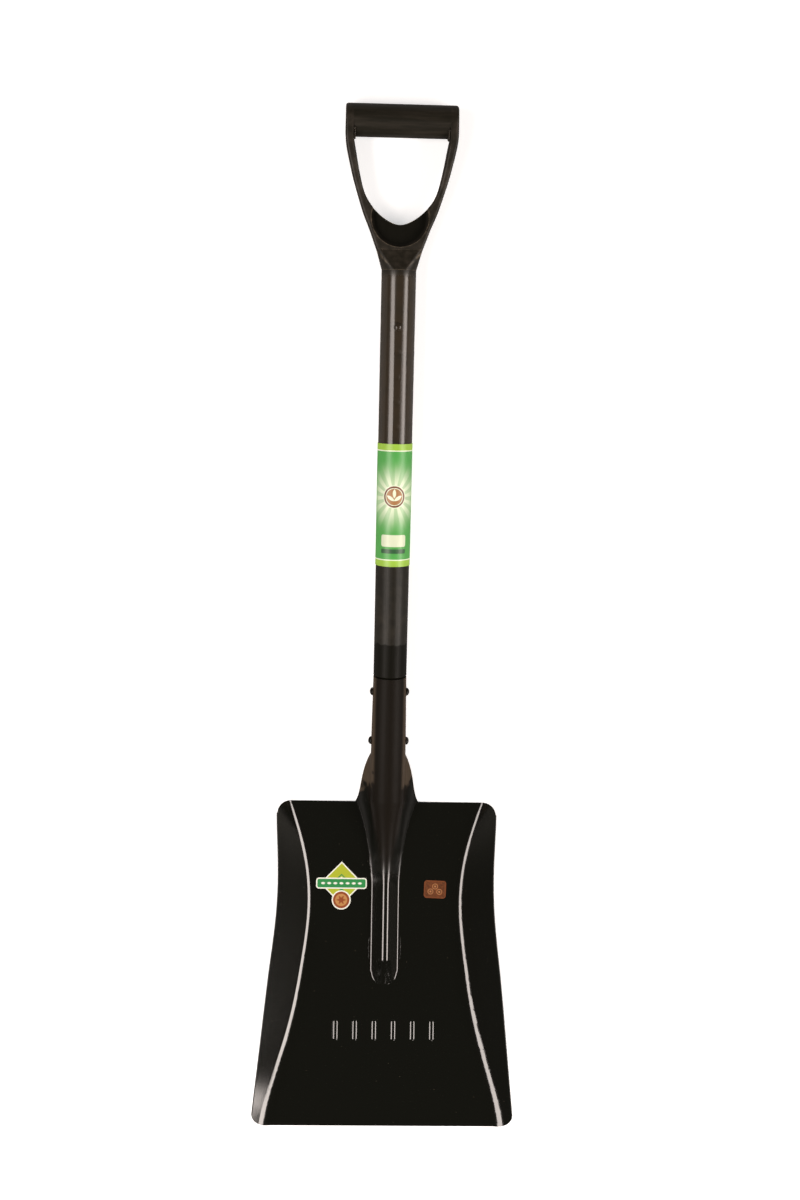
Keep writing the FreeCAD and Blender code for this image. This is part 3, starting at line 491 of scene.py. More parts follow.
@dataclass(frozen=True)
class BrownBlackPaint(Finish):
    """Brown-black machine paint, brushed thinly over drawn tube and forged steel.

    The tube's drawing lines show through it, and it has brown, rubbed mottling. It is shiny on the upper
    shaft, where two lamps draw clear streaks, and dull below the label. It is soaked dark where it was dipped
    at the socket, darkened with painted shade in the yoke's scoop, and paler brown on sharp edges, partly
    rubbed paint and partly a painted highlight. Real drawing lines are finer than a pixel of the picture, so
    they are drawn coarser.
    """

    colour: str = "#1a1812"
    rubbed_colour: str = "#2c2820"
    upper_colour: str = "#342c22"
    dipped_and_shaded_colour: str = "#12110c"
    rubbed_and_lit_edge_colour: str = "#5c5143"
    edge_wear_and_highlight: EdgeWearAndHighlight = EdgeWearAndHighlight.NONE
    drawn: Drawn = Drawn.UP_THE_SHAFT
    paint_ior: float = 1.5
    roughness: float = 0.44
    upper_roughness: float = 0.2
    specular: float = 0.25
    dipped_specular: float = 0.09
    upper_specular: float = 0.55
    upper_start_mm: Pair = (336.0, 376.0)
    upper_stop_mm: Pair = (542.0, 530.0)
    dipped_above_mm: float = 120.0
    dipped_end_mm: Pair = (172.0, 170.0)
    wander_mm: float = 5.0
    wander_size_mm: float = 9.0
    scoop_middle_mm: Pair = (0.0, 589.6)
    scoop_radius_mm: float = 27.9
    scoop_edge_mm: Pair = (0.2, -3.4)
    scoop_above_mm: float = -4.0
    mottle_mm: float = 16.0
    rubbed_noise: Pair = (0.42, 0.75)
    edge_mm: float = 1.0
    edge_likeness: Pair = (0.998, 0.94)
    arris_middle_mm: Pair = (16.0, 551.0)
    arris_half_mm: Pair = (12.5, 0.9)
    arris_turn_deg: float = 47.0
    arris_edge_mm: Pair = (0.5, -0.5)
    broken_noise: Pair = (0.35, 0.6)
    rubbed_and_lit_below_mm: Pair = (660.0, 645.0)
    line_noise: Pair = (0.3, 0.7)
    line_roughness: Pair = (0.88, 1.15)
    lines: Relief = Relief(0.12, 0.03)
    lumps: Relief = Relief(0.1, 0.15)

    def upper_share(self, add: Adder, part: Node) -> Node:
        """One on the shiny upper shaft and zero elsewhere."""
        start, stop = (add("MapRange", SMOOTH, Value=(part, "Y"), From=end)
                       for end in (self.upper_start_mm, self.upper_stop_mm))
        return add("Math", MULTIPLY, in0=start, in1=stop)

    def dipped_and_shaded_share(self, add: Adder, place: Node, part: Node) -> Node:
        """Finds the soaked end above the socket, and the yoke's scoop, which is darkened as painted shade.

        Args:
            add: Adds a node.
            place: Millimetres in the shaft's frame.
            part: The same, split.

        Returns:
            One there and zero elsewhere.
        """
        noise = add("TexNoise", Vector=place, Scale=1 / self.wander_size_mm, Detail=2.0)
        below = ragged(add, part, noise, self.wander_mm, self.dipped_end_mm)
        above = add("Math", OVER, in0=(part, "Y"), in1=self.dipped_above_mm)
        soaked = add("Math", MULTIPLY, in0=below, in1=above)
        # The yoke's scoop is darkened: painted shade.
        scoop = disc(add, place, self.scoop_middle_mm, self.scoop_radius_mm)
        inside = add("MapRange", Value=scoop, From=self.scoop_edge_mm)
        front = add("Math", OVER, in0=(part, "Z"), in1=self.scoop_above_mm)
        scoop_shade = add("Math", MULTIPLY, in0=inside, in1=front)
        return add("Math", MOST, in0=soaked, in1=scoop_shade)

    def rubbed_and_lit_edge_share(self, add: Adder, place: Node, part: Node, mottle: Node) -> Node:
        """Finds the paler edges, partly rubbed paint and partly painted highlight: those that a bevel would
        round, and the two slanting creases under the yoke, which get painted highlight lines.

        Args:
            add: Adds a node.
            place: Millimetres in the shaft's frame.
            part: The same, split.
            mottle: Noise that breaks the paler edges up.

        Returns:
            How much paler brown is painted there: rubbed paint and painted highlight.
        """
        faces = add("NewGeometry")
        rounded = add("Bevel", {"samples": 4}, Radius=self.edge_mm * MM)
        alike = add("VectorMath", {"operation": "DOT_PRODUCT"}, in0=rounded, in1=(faces, "Normal"))
        sharp = add("MapRange", Value=(alike, "Value"), From=self.edge_likeness)
        # The two slanting creases under the yoke get painted highlight lines.
        x, y = self.arris_middle_mm
        slanting = joined(add, [leaf(add, place, (side * x, y), self.arris_half_mm, side * self.arris_turn_deg)
                                for side in (-1.0, 1.0)])
        arris_highlight = add("MapRange", Value=slanting, From=self.arris_edge_mm)
        edges = add("Math", MOST, in0=sharp, in1=arris_highlight)
        broken = add("MapRange", Value=mottle, From=self.broken_noise, To=(0.0, self.edge_wear_and_highlight.value))
        rubbed_and_lit = add("Math", MULTIPLY, in0=edges, in1=broken)
        below = add("MapRange", Value=(part, "Y"), From=self.rubbed_and_lit_below_mm)
        return add("Math", MULTIPLY, in0=rubbed_and_lit, in1=below)

    def shader(self, add: Adder) -> Node:
        """Draws the paint with its zones, drawing lines and mottling.

        Args:
            add: Adds a node.

        Returns:
            The finished shader.
        """
        place = SHAFT.millimetres(add)
        part = add("SeparateXYZ", Vector=place)
        upper = self.upper_share(add, part)
        # Soaked dark paint above the socket, and painted shade in the yoke's scoop.
        dipped = self.dipped_and_shaded_share(add, place, part)
        line_mm, stretch = self.drawn.value
        drawn = add("Mapping", Vector=place, Scale=tuple(1 / size for size in line_mm))
        lines = add("TexNoise", Vector=drawn, Scale=1.0, Detail=2.0)
        marks = add("Mapping", Vector=place, Scale=tuple(1 / (self.mottle_mm * one) for one in stretch))
        mottle = add("TexNoise", Vector=marks, Scale=1.0, Detail=4.0, Roughness=0.6)
        rubbed = add("MapRange", Value=mottle, From=self.rubbed_noise)

        coats = [(upper, self.upper_colour), (rubbed, self.rubbed_colour), (dipped, self.dipped_and_shaded_colour)]
        if self.edge_wear_and_highlight is not EdgeWearAndHighlight.NONE:
            # Paler sharp edges: partly rubbed paint, partly painted highlight.
            coats.append((self.rubbed_and_lit_edge_share(add, place, part, mottle), self.rubbed_and_lit_edge_colour))
        colour = coated(add, self.colour, coats)

        dull = add("MapRange", Value=upper, To=(self.roughness, self.upper_roughness))
        grain = add("MapRange", Value=lines, From=self.line_noise, To=self.line_roughness)
        rough = add("Math", MULTIPLY, in0=dull, in1=grain)
        bright = add("MapRange", Value=upper, To=(self.specular, self.upper_specular))
        kept = add("MapRange", Value=dipped, To=(1.0, self.dipped_specular / self.specular))
        shine = add("Math", MULTIPLY, in0=bright, in1=kept)
        ridges = add("Bump", Height=lines, **self.lines.inputs())
        lumps = add("Bump", Height=mottle, Normal=ridges, **self.lumps.inputs())
        return add("BsdfPrincipled", Base_Color=colour, Roughness=rough, IOR=self.paint_ior,
                   Specular_IOR_Level=shine, Normal=lumps)


@dataclass(frozen=True)
class PrintedWrap(Finish):
    """Printed polyester film round the tube: smooth, slightly shiny, green with lime ends and a pale glow.

    A real film's grain is finer than a pixel of the picture, so it is drawn coarser.
    """

    green: str = "#4da54a"
    lime: str = "#9ac53f"
    pale: str = "#e9f3d6"
    brown: str = "#6f381c"
    tan: str = "#a9794a"
    plate_colour: str = "#d9e2c4"
    dark: str = "#2a5a34"
    roughness: float = 0.42
    film_ior: float = 1.57
    middle_mm: float = 312.0
    half_length_mm: float = 61.0
    film_radius_mm: float = 17.2
    band_mm: float = 6.2
    rule_mm: float = 1.1
    glow_at_mm: float = 9.0
    glow_mm: Pair = (4.0, 42.0)
    rays: float = 14.0
    ray_wave: Pair = (-0.5, 0.5)
    ray_light: Pair = (0.62, 1.0)
    ring_mm: float = 11.5
    leaf_half_mm: Pair = (4.6, 1.7)
    leaves: Tuple[Triple, ...] = ((0.0, 3.2, 90.0), (-3.6, -1.4, 145.0), (3.6, -1.4, 35.0))
    plate: Tuple[Pair, Pair, float] = ((0.0, -35.0), (13.0, 6.0), 2.2)
    bar: Tuple[Pair, Pair, float] = ((0.0, -45.5), (13.0, 2.2), 1.0)
    grain_mm: float = 0.8
    grain: Relief = Relief(0.08, 0.02)

    def glowing(self, add: Adder, flat: Node) -> Node:
        """Draws the pale glow with its rays on the green.

        Args:
            add: Adds a node.
            flat: Millimetres on the unrolled film.

        Returns:
            The colours.
        """
        off = add("VectorMath", SUBTRACT, in0=flat, in1=(0.0, self.glow_at_mm, 0.0))
        reach = add("VectorMath", LENGTH, in0=off)
        glow = add("MapRange", SMOOTH, Value=(reach, "Value"), From=self.glow_mm, To=(1.0, 0.0))
        part = add("SeparateXYZ", Vector=off)
        sweep = add("Math", ANGLE, in0=(part, "Y"), in1=(part, "X"))
        sweeps = add("Math", MULTIPLY, in0=sweep, in1=self.rays)
        wave = add("Math", {"operation": "SINE"}, in0=sweeps)
        ray = add("MapRange", SMOOTH, Value=wave, From=self.ray_wave, To=self.ray_light)
        lit = add("Math", {"operation": "MULTIPLY", "use_clamp": True}, in0=glow, in1=ray)
        return add("Mix", BLEND, Factor=lit, A=paint(self.green), B=paint(self.pale))

    def shader(self, add: Adder) -> Node:
        """Draws the print flat on the unrolled film.

        Args:
            add: Adds a node.

        Returns:
            The finished shader.
        """
        place = SHAFT.millimetres(add, 0.0, self.middle_mm, 0.0)
        part = add("SeparateXYZ", Vector=place)
        turn = add("Math", ANGLE, in0=(part, "X"), in1=(part, "Z"))
        round_film = add("Math", MULTIPLY, in0=turn, in1=self.film_radius_mm)
        flat = add("CombineXYZ", X=round_film, Y=(part, "Y"))

        plate = panel(add, flat, *self.plate)
        bar = panel(add, flat, *self.bar)
        ring = disc(add, flat, (0.0, self.glow_at_mm), self.ring_mm)
        leaves = joined(add, [leaf(add, flat, (x, self.glow_at_mm + y), self.leaf_half_mm, turn_deg)
                              for x, y, turn_deg in self.leaves])
        colour = self.glowing(add, flat)
        for shape, inset, ink in ((plate, 0.0, self.plate_colour), (bar, 0.0, self.dark),
                                  (ring, 0.0, self.pale), (ring, 0.9, self.brown), (ring, 2.6, self.pale),
                                  (ring, 3.3, self.tan), (leaves, 0.0, self.pale)):
            colour = inked(add, colour, shape, ink, inset)

        height = add("Math", ABSOLUTE, in0=(part, "Y"))
        band_mm = self.half_length_mm - self.band_mm
        for edge_mm, ink in ((band_mm - self.rule_mm, self.pale), (band_mm, self.lime)):
            past = add("Math", OVER, in0=height, in1=edge_mm)
            colour = add("Mix", BLEND, Factor=past, A=colour, B=paint(ink))
        noise = add("TexNoise", Vector=place, Scale=1 / self.grain_mm, Detail=1.0)
        skin = add("Bump", Height=noise, **self.grain.inputs())
        return add("BsdfPrincipled", Base_Color=colour, Roughness=self.roughness, IOR=self.film_ior,
                   Normal=skin)


@dataclass(frozen=True)
class PrintedDiamond(Finish):
    """Printed vinyl sticker: white border, lime-yellow field, green band and a ringed brown seal.

    The glue under it lifts it in slow swells, which break its shine up.
    """

    white: str = "#e4e6da"
    field_colour: str = "#a8b12b"
    green: str = "#2b8546"
    brown: str = "#8a4520"
    tan: str = "#b5824c"
    roughness: float = 0.35
    vinyl_ior: float = 1.53
    middle_mm: Pair = (-46.0, -85.5)
    half_mm: float = 22.5
    corner_mm: float = 0.4
    border_mm: float = 1.3
    upper: Tuple[Pair, Pair, float] = ((3.4, 3.4), (3.6, 3.6), 0.4)
    lower: Tuple[Pair, Pair, float] = ((-5.6, -5.6), (2.2, 2.2), 0.4)
    band: Tuple[Pair, Pair, float] = ((0.0, 0.0), (26.5, 5.7), 3.0)
    beads_each_side: int = 3
    bead_pitch_mm: float = 6.4
    bead_half_mm: Pair = (2.2, 1.2)
    seal_middle_mm: Pair = (0.0, -17.2)
    seal_mm: float = 9.9
    petal_half_mm: Pair = (5.2, 1.3)
    petal_turns_deg: Triple = (0.0, 60.0, 120.0)
    glue_mm: float = 7.0
    glue: Relief = Relief(0.2, 0.1)

    def shader(self, add: Adder) -> Node:
        """Draws the print from its white ground up.

        Args:
            add: Adds a node.

        Returns:
            The finished shader.
        """
        place = BLADE.millimetres(add, *self.middle_mm, 0.0)
        turned = add("Mapping", PLACED, Vector=place, Rotation=(0.0, 0.0, math.pi / 4))
        half = self.half_mm / math.sqrt(2)
        diamond = panel(add, turned, (0.0, 0.0), (half, half), self.corner_mm)
        upper = panel(add, turned, *self.upper)
        lower = panel(add, turned, *self.lower)
        band = panel(add, place, *self.band)
        beads = joined(add, [leaf(add, place, (step * self.bead_pitch_mm, 0.0), self.bead_half_mm, 0.0)
                             for step in range(-self.beads_each_side, self.beads_each_side + 1)])
        seal = disc(add, place, self.seal_middle_mm, self.seal_mm)
        petals = joined(add, [leaf(add, place, self.seal_middle_mm, self.petal_half_mm, turn_deg)
                              for turn_deg in self.petal_turns_deg])
        colour = paint(self.white)
        for shape, inset, ink in ((diamond, self.border_mm, self.field_colour), (upper, 0.0, self.green),
                                  (upper, 1.1, self.field_colour), (upper, 2.1, self.white),
                                  (lower, 0.0, self.green), (band, 0.0, self.white),
                                  (band, self.border_mm, self.green), (beads, 0.0, self.white),
                                  (seal, 0.0, self.white), (seal, self.border_mm, self.brown),
                                  (seal, 3.6, self.tan), (petals, 0.0, self.brown)):
            colour = inked(add, colour, shape, ink, inset)
        noise = add("TexNoise", Vector=place, Scale=1 / self.glue_mm, Detail=2.0)
        swell = add("Bump", Height=noise, **self.glue.inputs())
        return add("BsdfPrincipled", Base_Color=colour, Roughness=self.roughness, IOR=self.vinyl_ior,
                   Normal=swell)


@dataclass(frozen=True)
class StampedFoil(Finish):
    """Copper-coloured foil label, stamped: brown-orange, finely grained, with three plain rings."""

    copper: str = "#844a29"
    dark: str = "#54341f"
    pale: str = "#c08255"
    metallic: float = 0.35
    roughness: float = 0.38
    middle_mm: Pair = (52.0, -90.8)
    turn_deg: float = -2.0
    half_mm: Pair = (11.5, 9.1)
    corner_mm: float = 3.0
    border_mm: float = 0.9
    ring_mm: float = 3.0
    ring_middles_mm: Tuple[Pair, ...] = ((-4.6, -2.4), (4.6, -2.4), (0.0, 3.0))
    grain_mm: float = 1.2
    grain_noise: Pair = (0.35, 0.65)
    grain: Relief = Relief(0.3, 0.05)

    def shader(self, add: Adder) -> Node:
        """Draws the foil's border, its rings and its grain.

        Args:
            add: Adds a node.

        Returns:
            The finished shader.
        """
        place = BLADE.millimetres(add, *self.middle_mm, 0.0)
        turned = add("Mapping", PLACED, Vector=place, Rotation=(0.0, 0.0, math.radians(self.turn_deg)))
        noise = add("TexNoise", Vector=turned, Scale=1 / self.grain_mm, Detail=3.0)
        mottled = add("MapRange", Value=noise, From=self.grain_noise)
        ground = add("Mix", BLEND, Factor=mottled, A=paint(self.dark), B=paint(self.copper))
        outline = panel(add, turned, (0.0, 0.0), self.half_mm, self.corner_mm)
        inside = add("MapRange", Value=outline,
                     From=(SOFT_EDGE_MM - self.border_mm, -SOFT_EDGE_MM - self.border_mm))
        colour = add("Mix", BLEND, Factor=inside, A=paint(self.copper), B=ground)
        for middle in self.ring_middles_mm:
            ring = disc(add, turned, middle, self.ring_mm)
            for inset, ink in ((0.0, self.pale), (0.8, self.dark), (1.9, self.pale)):
                colour = inked(add, colour, ring, ink, inset)
        relief = add("Bump", Height=noise, **self.grain.inputs())
        return add("BsdfPrincipled", Base_Color=colour, Metallic=self.metallic,
                   Roughness=self.roughness, Normal=relief)


@dataclass(frozen=True)
class MattFloor(Finish):
    """Matt white studio floor: plain white with the shovel's soft shadow to the eye, and dim in its paint."""

    white: Pair = (0.79, 0.81)
    patch_mm: float = 60.0
    glow: float = 0.55
    mirrored: float = 0.3

    def shader(self, add: Adder) -> Node:
        """Adds a white glow that only the camera sees, and dims what shiny paint mirrors.

        Args:
            add: Adds a node.

        Returns:
            The finished shader.
        """
        rays = add("LightPath")
        seen = add("Math", MOST, in0=(rays, "Is Camera Ray"), in1=(rays, "Is Transmission Ray"))
        place = add("TexCoord")
        patches = add("TexNoise", Vector=(place, "Object"), Scale=1 / (self.patch_mm * MM), Detail=2.0)
        tone = add("MapRange", Value=patches, To=self.white)
        matt = add("BsdfDiffuse", Color=tone)
        glowing = add("Emission", Color=grey(1.0), Strength=self.glow)
        both = add("AddShader", in0=matt, in1=glowing)
        direct = add("MixShader", in0=seen, in1=matt, in2=both)
        mirrored = add("BsdfDiffuse", Color=grey(self.mirrored))
        return add("MixShader", in0=(rays, "Is Glossy Ray"), in1=direct, in2=mirrored)


# Sub-assemblies


@dataclass
class SubAssembly:
    """A group of the shovel's pieces that one class dresses."""

    title: str

    def dress(self, node: str, finish: bpy.types.Material) -> None:
        """Gives one piece of the construction model its finish.

        Args:
            node: The piece's name.
            finish: The material that it gets.
        """
        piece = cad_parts[node]
        piece.data.materials.clear()
        piece.data.materials.append(finish)
        LOG.info("%s: %s has %s", self.title, node, finish.name)

    def ball(self, segments: int, rings: int, half_mm: Triple) -> Piece:
        """Makes a ball at the origin, stretched along its axes.

        Args:
            segments: Its facets round Z.
            rings: Its facets from pole to pole.
            half_mm: Half its size along each axis.

        Returns:
            The ball.
        """
        bpy.ops.object.select_all(action="DESELECT")
        bpy.ops.mesh.primitive_uv_sphere_add(segments=segments, ring_count=rings, radius=MM,
                                             location=(0.0, 0.0, 0.0), scale=half_mm)
        bpy.ops.object.transform_apply(location=False, rotation=False, scale=True)
        return bpy.context.active_object

    def copied(self, first: Piece, place: Matrix) -> Piece:
        """Copies a piece with its own mesh.

        Args:
            first: The piece to copy.
            place: Where the copy goes.

        Returns:
            The copy.
        """
        copy = first.copy()
        copy.data = first.data.copy()
        bpy.context.scene.collection.objects.link(copy)
        copy.matrix_world = place
        return copy

    def grown_together(self, parts: Sequence[Piece], name: str, skin_mm: float) -> Piece:
        """Makes one closed skin of overlapping parts.

        Args:
            parts: The overlapping parts, of which the first is kept.
            name: The finished piece's name.
            skin_mm: The size of the skin's facets.

        Returns:
            The finished piece.
        """
        bpy.ops.object.select_all(action="DESELECT")
        for part in parts:
            part.select_set(True)
        bpy.context.view_layer.objects.active = parts[0]
        bpy.ops.object.join()
        bpy.ops.object.transform_apply(location=True, rotation=True, scale=True)
        piece = bpy.context.active_object
        piece.name = name
        skin = piece.modifiers.new("skin", "REMESH")
        skin.mode = "VOXEL"
        skin.voxel_size = skin_mm * MM
        bpy.ops.object.modifier_apply(modifier="skin")
        even = piece.modifiers.new("even", "SMOOTH")
        even.iterations = SKIN_PASSES
        bpy.ops.object.modifier_apply(modifier="even")
        bpy.ops.object.shade_smooth()
        return piece

    def hand_over(self, piece: Piece, node: str, slot: str, finish: bpy.types.Material) -> None:
        """Gives a modelled piece its finish and puts it in the place of a piece of the construction model.

        Args:
            piece: The modelled piece.
            node: The piece that it stands in for.
            slot: Not used.
            finish: The material that it gets.
        """
        piece.data.materials.clear()
        piece.data.materials.append(finish)
        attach(piece, "root")
        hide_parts(node)
        LOG.info("%s: %s stands in for %s", self.title, piece.name, node)

    def build(self) -> None:
        """Makes and dresses the group's pieces."""
        raise NotImplementedError


@dataclass
class BladeAndSocket(SubAssembly):
    """The pressed blade with its rolled socket."""

    title: str = "blade"

    def build(self) -> None:
        """Gives the blade its enamel."""
        self.dress("blade", StovedEnamel("dipped_and_stoved_black_enamel").build())


class Through(Enum):
    """Which way a rivet runs: across the socket or through the yoke from front to back."""

    ACROSS = (1.0, 0.0, 0.0)
    FRONT_TO_BACK = (0.0, 0.0, 1.0)


@dataclass(frozen=True)
class RivetPlace:
    """Where one rivet sits: the node it stands in for, its height up the shaft, half its length and its way."""

    node: str
    up_mm: float
    half_mm: float
    way: Through


@dataclass
class Rivets(SubAssembly):
    """Three rivets with hand-hammered domes: the head is modelled once and copied."""

    title: str = "rivets"
    head_mm: float = 4.2
    head_rise_mm: float = 3.05
    head_segments: int = 48
    head_rings: int = 24
    seat_mm: float = -0.01
    shank_mm: float = 2.6
    shank_sides: int = 32
    shank_into_head_mm: float = 0.4
    dent_mm: float = 0.3
    dent_size_mm: float = 1.5
    skin_mm: float = 0.16
    places: Tuple[RivetPlace, ...] = (
        RivetPlace("upper_socket_rivet", 119.0, 20.2, Through.ACROSS),
        RivetPlace("lower_socket_rivet", 67.0, 20.92, Through.ACROSS),
        RivetPlace("yoke_rivet", 486.0, 19.97, Through.FRONT_TO_BACK),
    )

    def head(self) -> Piece:
        """Models one head: a ball with its lower half pressed flat, then dented by blows.

        Returns:
            The head, with its seat at the origin.
        """
        head = self.ball(self.head_segments, self.head_rings, (self.head_mm, self.head_mm, self.head_rise_mm))
        bpy.ops.object.mode_set(mode="EDIT")
        bpy.ops.mesh.select_all(action="DESELECT")
        bpy.ops.object.mode_set(mode="OBJECT")
        for corner in head.data.vertices:
            corner.select = corner.co.z < self.seat_mm * MM
        bpy.ops.object.mode_set(mode="EDIT")
        bpy.ops.transform.resize(value=(1.0, 1.0, 0.0), center_override=(0.0, 0.0, 0.0))
        bpy.ops.object.mode_set(mode="OBJECT")
        blows = bpy.data.textures.new("hammer_blows", "CLOUDS")
        blows.noise_scale = self.dent_size_mm * MM
        blows.cloud_type = "COLOR"
        dents = head.modifiers.new("dents", "DISPLACE")
        dents.texture = blows
        dents.direction = "RGB_TO_XYZ"
        dents.strength = self.dent_mm * MM
        bpy.ops.object.modifier_apply(modifier="dents")
        return head

    def build(self) -> None:
        """Puts two heads and a shank together at each place."""
        # The heads' paler edges are partly rubbed paint, partly painted highlight.
        finish = BrownBlackPaint("brushed_black_rivet_paint", colour="#11100d", rubbed_colour="#1d1a15",
                                 edge_wear_and_highlight=EdgeWearAndHighlight.LIGHT, roughness=0.32, specular=0.2, upper_specular=0.4).build()
        first = self.head()
        upright = Vector((0.0, 0.0, 1.0))
        for place in self.places:
            way = Vector(place.way.value)
            seat = place.half_mm - self.head_rise_mm
            parts = []
            for end in (way, -way):
                turn = upright.rotation_difference(end).to_matrix().to_4x4()
                at = end * seat + Vector((0.0, place.up_mm, 0.0))
                parts.append(self.copied(first, SHAFT.matrix(at.x, at.y, at.z) @ turn))
            bpy.ops.mesh.primitive_cylinder_add(vertices=self.shank_sides, radius=self.shank_mm * MM,
                                                depth=2 * (seat + self.shank_into_head_mm) * MM)
            shank = bpy.context.active_object
            turn = upright.rotation_difference(way).to_matrix().to_4x4()
            shank.matrix_world = SHAFT.matrix(0.0, place.up_mm, 0.0) @ turn
            rivet = self.grown_together(parts + [shank], "hammered_" + place.node, self.skin_mm)
            self.hand_over(rivet, place.node, "rivet_paint", finish)
        bpy.data.objects.remove(first)


@dataclass
class GripWelds(SubAssembly):
    """Fillet welds in the corners of grip and yoke: a chain of overlapping ripples, laid once and copied."""

    title: str = "welds"
    x_mm: float = 45.0
    round_mm: float = 16.35
    half_turn_deg: float = 57.0
    ripples: int = 15
    ripple_mm: Triple = (1.08, 1.0, 1.2)
    ripple_segments: int = 24
    ripple_rings: int = 16
    skin_mm: float = 0.12

    def build(self) -> None:
        """Lays the right-hand weld and copies it to the left."""
        # The welds' paler browns are partly paint tone and partly a painted highlight on the beads.
        finish = BrownBlackPaint("brushed_brown_black_weld_paint", colour="#2b261d", rubbed_colour="#473d31",
                                 roughness=0.3, specular=0.6, mottle_mm=4.0).build()
        ripple = self.ball(self.ripple_segments, self.ripple_rings, self.ripple_mm)
        parts = []
        for step in range(self.ripples):
            angle = math.radians(self.half_turn_deg) * (2 * step / (self.ripples - 1) - 1)
            at = (self.x_mm, GRIP_AT_MM - self.round_mm * math.cos(angle), self.round_mm * math.sin(angle))
            turn = Matrix.Rotation(-angle + math.pi / 2, 4, "X")
            parts.append(self.copied(ripple, SHAFT.matrix(*at) @ turn))
        bpy.data.objects.remove(ripple)
        right = self.grown_together(parts, "rippled_grip_weld_right", self.skin_mm)
        left = self.copied(right, Matrix.Translation((-2 * self.x_mm * MM, 0.0, 0.0)))
        left.name = "rippled_grip_weld_left"
        bpy.context.view_layer.objects.active = left
        bpy.ops.object.select_all(action="DESELECT")
        left.select_set(True)
        bpy.ops.object.transform_apply(location=True, rotation=True, scale=True)
        self.hand_over(right, "grip_weld_right", "weld_paint", finish)
        self.hand_over(left, "grip_weld_left", "weld_paint", finish)


@dataclass
class HandleAndShaft(SubAssembly):
    """The D handle with its grip tube, and the shaft tube."""

    title: str = "handle"

    def build(self) -> None:
        """Gives handle and shaft their paint."""
        shaft = BrownBlackPaint("brushed_brown_black_tube_paint").build()
        # The paler edges on yoke and grip are partly rubbed paint, partly painted highlight.
        handle = BrownBlackPaint("brushed_brown_black_handle_paint", colour="#1f1c15", rubbed_colour="#37312a",
                                 rubbed_and_lit_edge_colour="#7a6d5c", edge_wear_and_highlight=EdgeWearAndHighlight.HANDLED, roughness=0.42, mottle_mm=9.0).build()
        grip = BrownBlackPaint("brushed_brown_black_grip_paint", colour="#1c1a13", rubbed_colour="#2f2a23",
                               rubbed_and_lit_edge_colour="#7a6d5c", edge_wear_and_highlight=EdgeWearAndHighlight.HANDLED, roughness=0.4,
                               drawn=Drawn.ALONG_THE_GRIP, mottle_mm=9.0).build()
        for node, finish in (("shaft_tube", shaft), ("handle_yoke", handle), ("grip_tube", grip)):
            self.dress(node, finish)


@dataclass
class LabelAndStickers(SubAssembly):
    """The wrap round the shaft and the two stickers on the pan."""

    title: str = "prints"

    def build(self) -> None:
        """Gives each film its print."""
        self.dress("shaft_label", PrintedWrap("printed_green_polyester_wrap").build())
        self.dress("diamond_sticker", PrintedDiamond("printed_lime_vinyl").build())
        self.dress("copper_sticker", StampedFoil("stamped_copper_foil").build())


# Studio


class LampFace(Enum):
    """The outline of a lamp's face."""

    OBLONG = "RECTANGLE"
    OVAL = "ELLIPSE"


@dataclass(frozen=True)
class Softbox:
    """A soft lamp over the shovel: where it hangs as seen from a point on it, its size and its radiance."""

    name: str
    aim: Triple
    lean_deg: float
    bearing_deg: float
    distance: float
    size: Pair
    radiance: float
    face: LampFace = LampFace.OBLONG

    def build(self) -> bpy.types.Object:
        """Hangs the lamp and turns it to its aim.

        Returns:
            The lamp.
        """
        data = bpy.data.lights.new(self.name, "AREA")
        data.shape = self.face.value
        data.size, data.size_y = self.size
        # An area lamp's radiance is its power over four times width times height.
        data.energy = self.radiance * 4 * self.size[0] * self.size[1]
        data.color = paint(LAMP_COLOUR)[:3]
        lamp = bpy.data.objects.new(self.name, data)
        bpy.context.scene.collection.objects.link(lamp)
        lean, bearing = math.radians(self.lean_deg), math.radians(self.bearing_deg)
        away = Vector((math.sin(lean) * math.cos(bearing), math.sin(lean) * math.sin(bearing), math.cos(lean)))
        across = Vector((0.0, 1.0, 0.0)).cross(away).normalized()
        turn = Matrix((across, away.cross(across), away)).transposed().to_4x4()
        lamp.matrix_world = Matrix.Translation(Vector(self.aim) + away * self.distance) @ turn
        return lamp


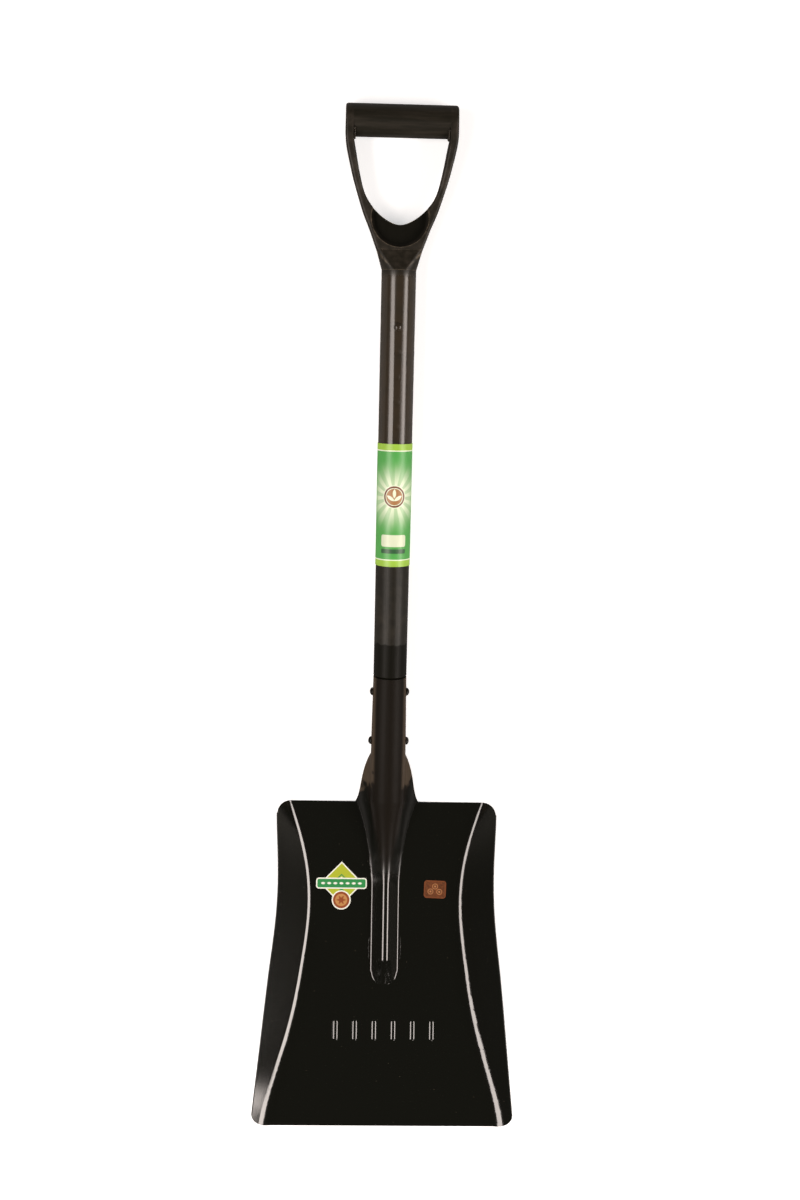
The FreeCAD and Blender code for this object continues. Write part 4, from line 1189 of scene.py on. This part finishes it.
@dataclass
class Studio:
    """Floor, lamps, surroundings and camera.

    The two long softboxes draw the streaks on the tube and the lines on rib and creases. The small oval one
    hangs close to the lower left corner of the blade and lights nothing else.
    """

    camera_mm: Triple = (-39.1, 308.0, 1458.8)
    tilt_deg: float = 10.902
    side_deg: float = -1.858
    roll_deg: float = 1.343
    focal_px: float = 1450.0
    floor_size: float = 24.0
    floor_gap_mm: float = 0.5
    room_light: float = 0.15
    dark_ceiling: float = 0.03
    pale_walls: float = 0.5
    wall_top: float = 0.35
    lamps: List[Softbox] = field(default_factory=lambda: [
        Softbox("left_softbox", (0.0, -0.3, 0.05), 39.0, 180.0, 1.8, (0.74, 1.9), 5.9),
        Softbox("right_softbox", (0.0, -0.3, 0.05), 52.5, 0.0, 1.8, (0.66, 1.9), 6.6),
        Softbox("corner_softbox", (-0.125, -0.502, 0.09), 70.0, -27.0, 0.3, (0.09, 0.056), 3.8, LampFace.OVAL),
    ])

    def build(self) -> None:
        """Sets the studio up."""
        self.floor()
        for lamp in self.lamps:
            lamp.build()
            LOG.info("studio: %s", lamp.name)
        self.surroundings()
        self.camera()
        bpy.context.scene.view_settings.view_transform = "Standard"

    def floor(self) -> None:
        """Lays the floor just under the frame's ground."""
        bpy.ops.object.select_all(action="DESELECT")
        bpy.ops.mesh.primitive_plane_add(size=self.floor_size, location=(0.0, 0.0, -self.floor_gap_mm * MM))
        plane = bpy.context.active_object
        plane.name = "studio_floor"
        plane.data.materials.append(MattFloor("matt_white_floor").build())

    def surroundings(self) -> None:
        """Makes the room: white where it is seen, and for reflections a dark ceiling over paler walls."""
        world = bpy.data.worlds.new("studio_room")
        bpy.context.scene.world = world
        world.use_nodes = True
        tree = world.node_tree
        tree.nodes.clear()
        add = partial(add_node, tree)
        rays = add("LightPath")
        way = add("TexCoord")
        part = add("SeparateXYZ", Vector=(way, "Generated"))
        low = add("MapRange", SMOOTH, Value=(part, "Z"), From=(self.wall_top, 0.0),
                  To=(self.dark_ceiling, self.pale_walls))
        mirrored = add("Background", Color=paint(WALL_COLOUR), Strength=low)
        room = add("Background", Color=grey(1.0), Strength=self.room_light)
        white = add("Background", Color=grey(1.0), Strength=1.0)
        gloss = add("MixShader", in0=(rays, "Is Glossy Ray"), in1=room, in2=mirrored)
        seen = add("MixShader", in0=(rays, "Is Camera Ray"), in1=gloss, in2=white)
        output = add("OutputWorld")
        tree.links.new(seen.outputs[0], output.inputs["Surface"])

    def camera(self) -> None:
        """Puts the camera where the photograph was taken from."""
        tilt, side, roll = (math.radians(angle) for angle in (self.tilt_deg, self.side_deg, self.roll_deg))
        back = Vector((math.sin(side), math.sin(tilt) * math.cos(side), math.cos(tilt) * math.cos(side)))
        up = Vector((0.0, 1.0, 0.0))
        up = (up - up.dot(back) * back).normalized()
        right = up.cross(back)
        rolled_right = right * math.cos(roll) + up * math.sin(roll)
        rolled_up = up * math.cos(roll) - right * math.sin(roll)
        data = bpy.data.cameras.new("camera")
        data.sensor_width = SENSOR_MM
        data.lens = self.focal_px / IMAGE_HEIGHT_PX * SENSOR_MM
        camera = bpy.data.objects.new("camera", data)
        bpy.context.scene.collection.objects.link(camera)
        turn = Matrix((rolled_right, rolled_up, back)).transposed().to_4x4()
        camera.matrix_world = Matrix.Translation(Vector(self.camera_mm) * MM) @ turn
        bpy.context.scene.camera = camera


def main() -> None:
    """Dresses the shovel and sets the studio up."""
    logging.basicConfig(level=logging.INFO, format="%(message)s")
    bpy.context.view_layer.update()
    for group in (BladeAndSocket(), Rivets(), HandleAndShaft(), GripWelds(), LabelAndStickers()):
        group.build()
    Studio().build()


if __name__ == "__main__":
    main()
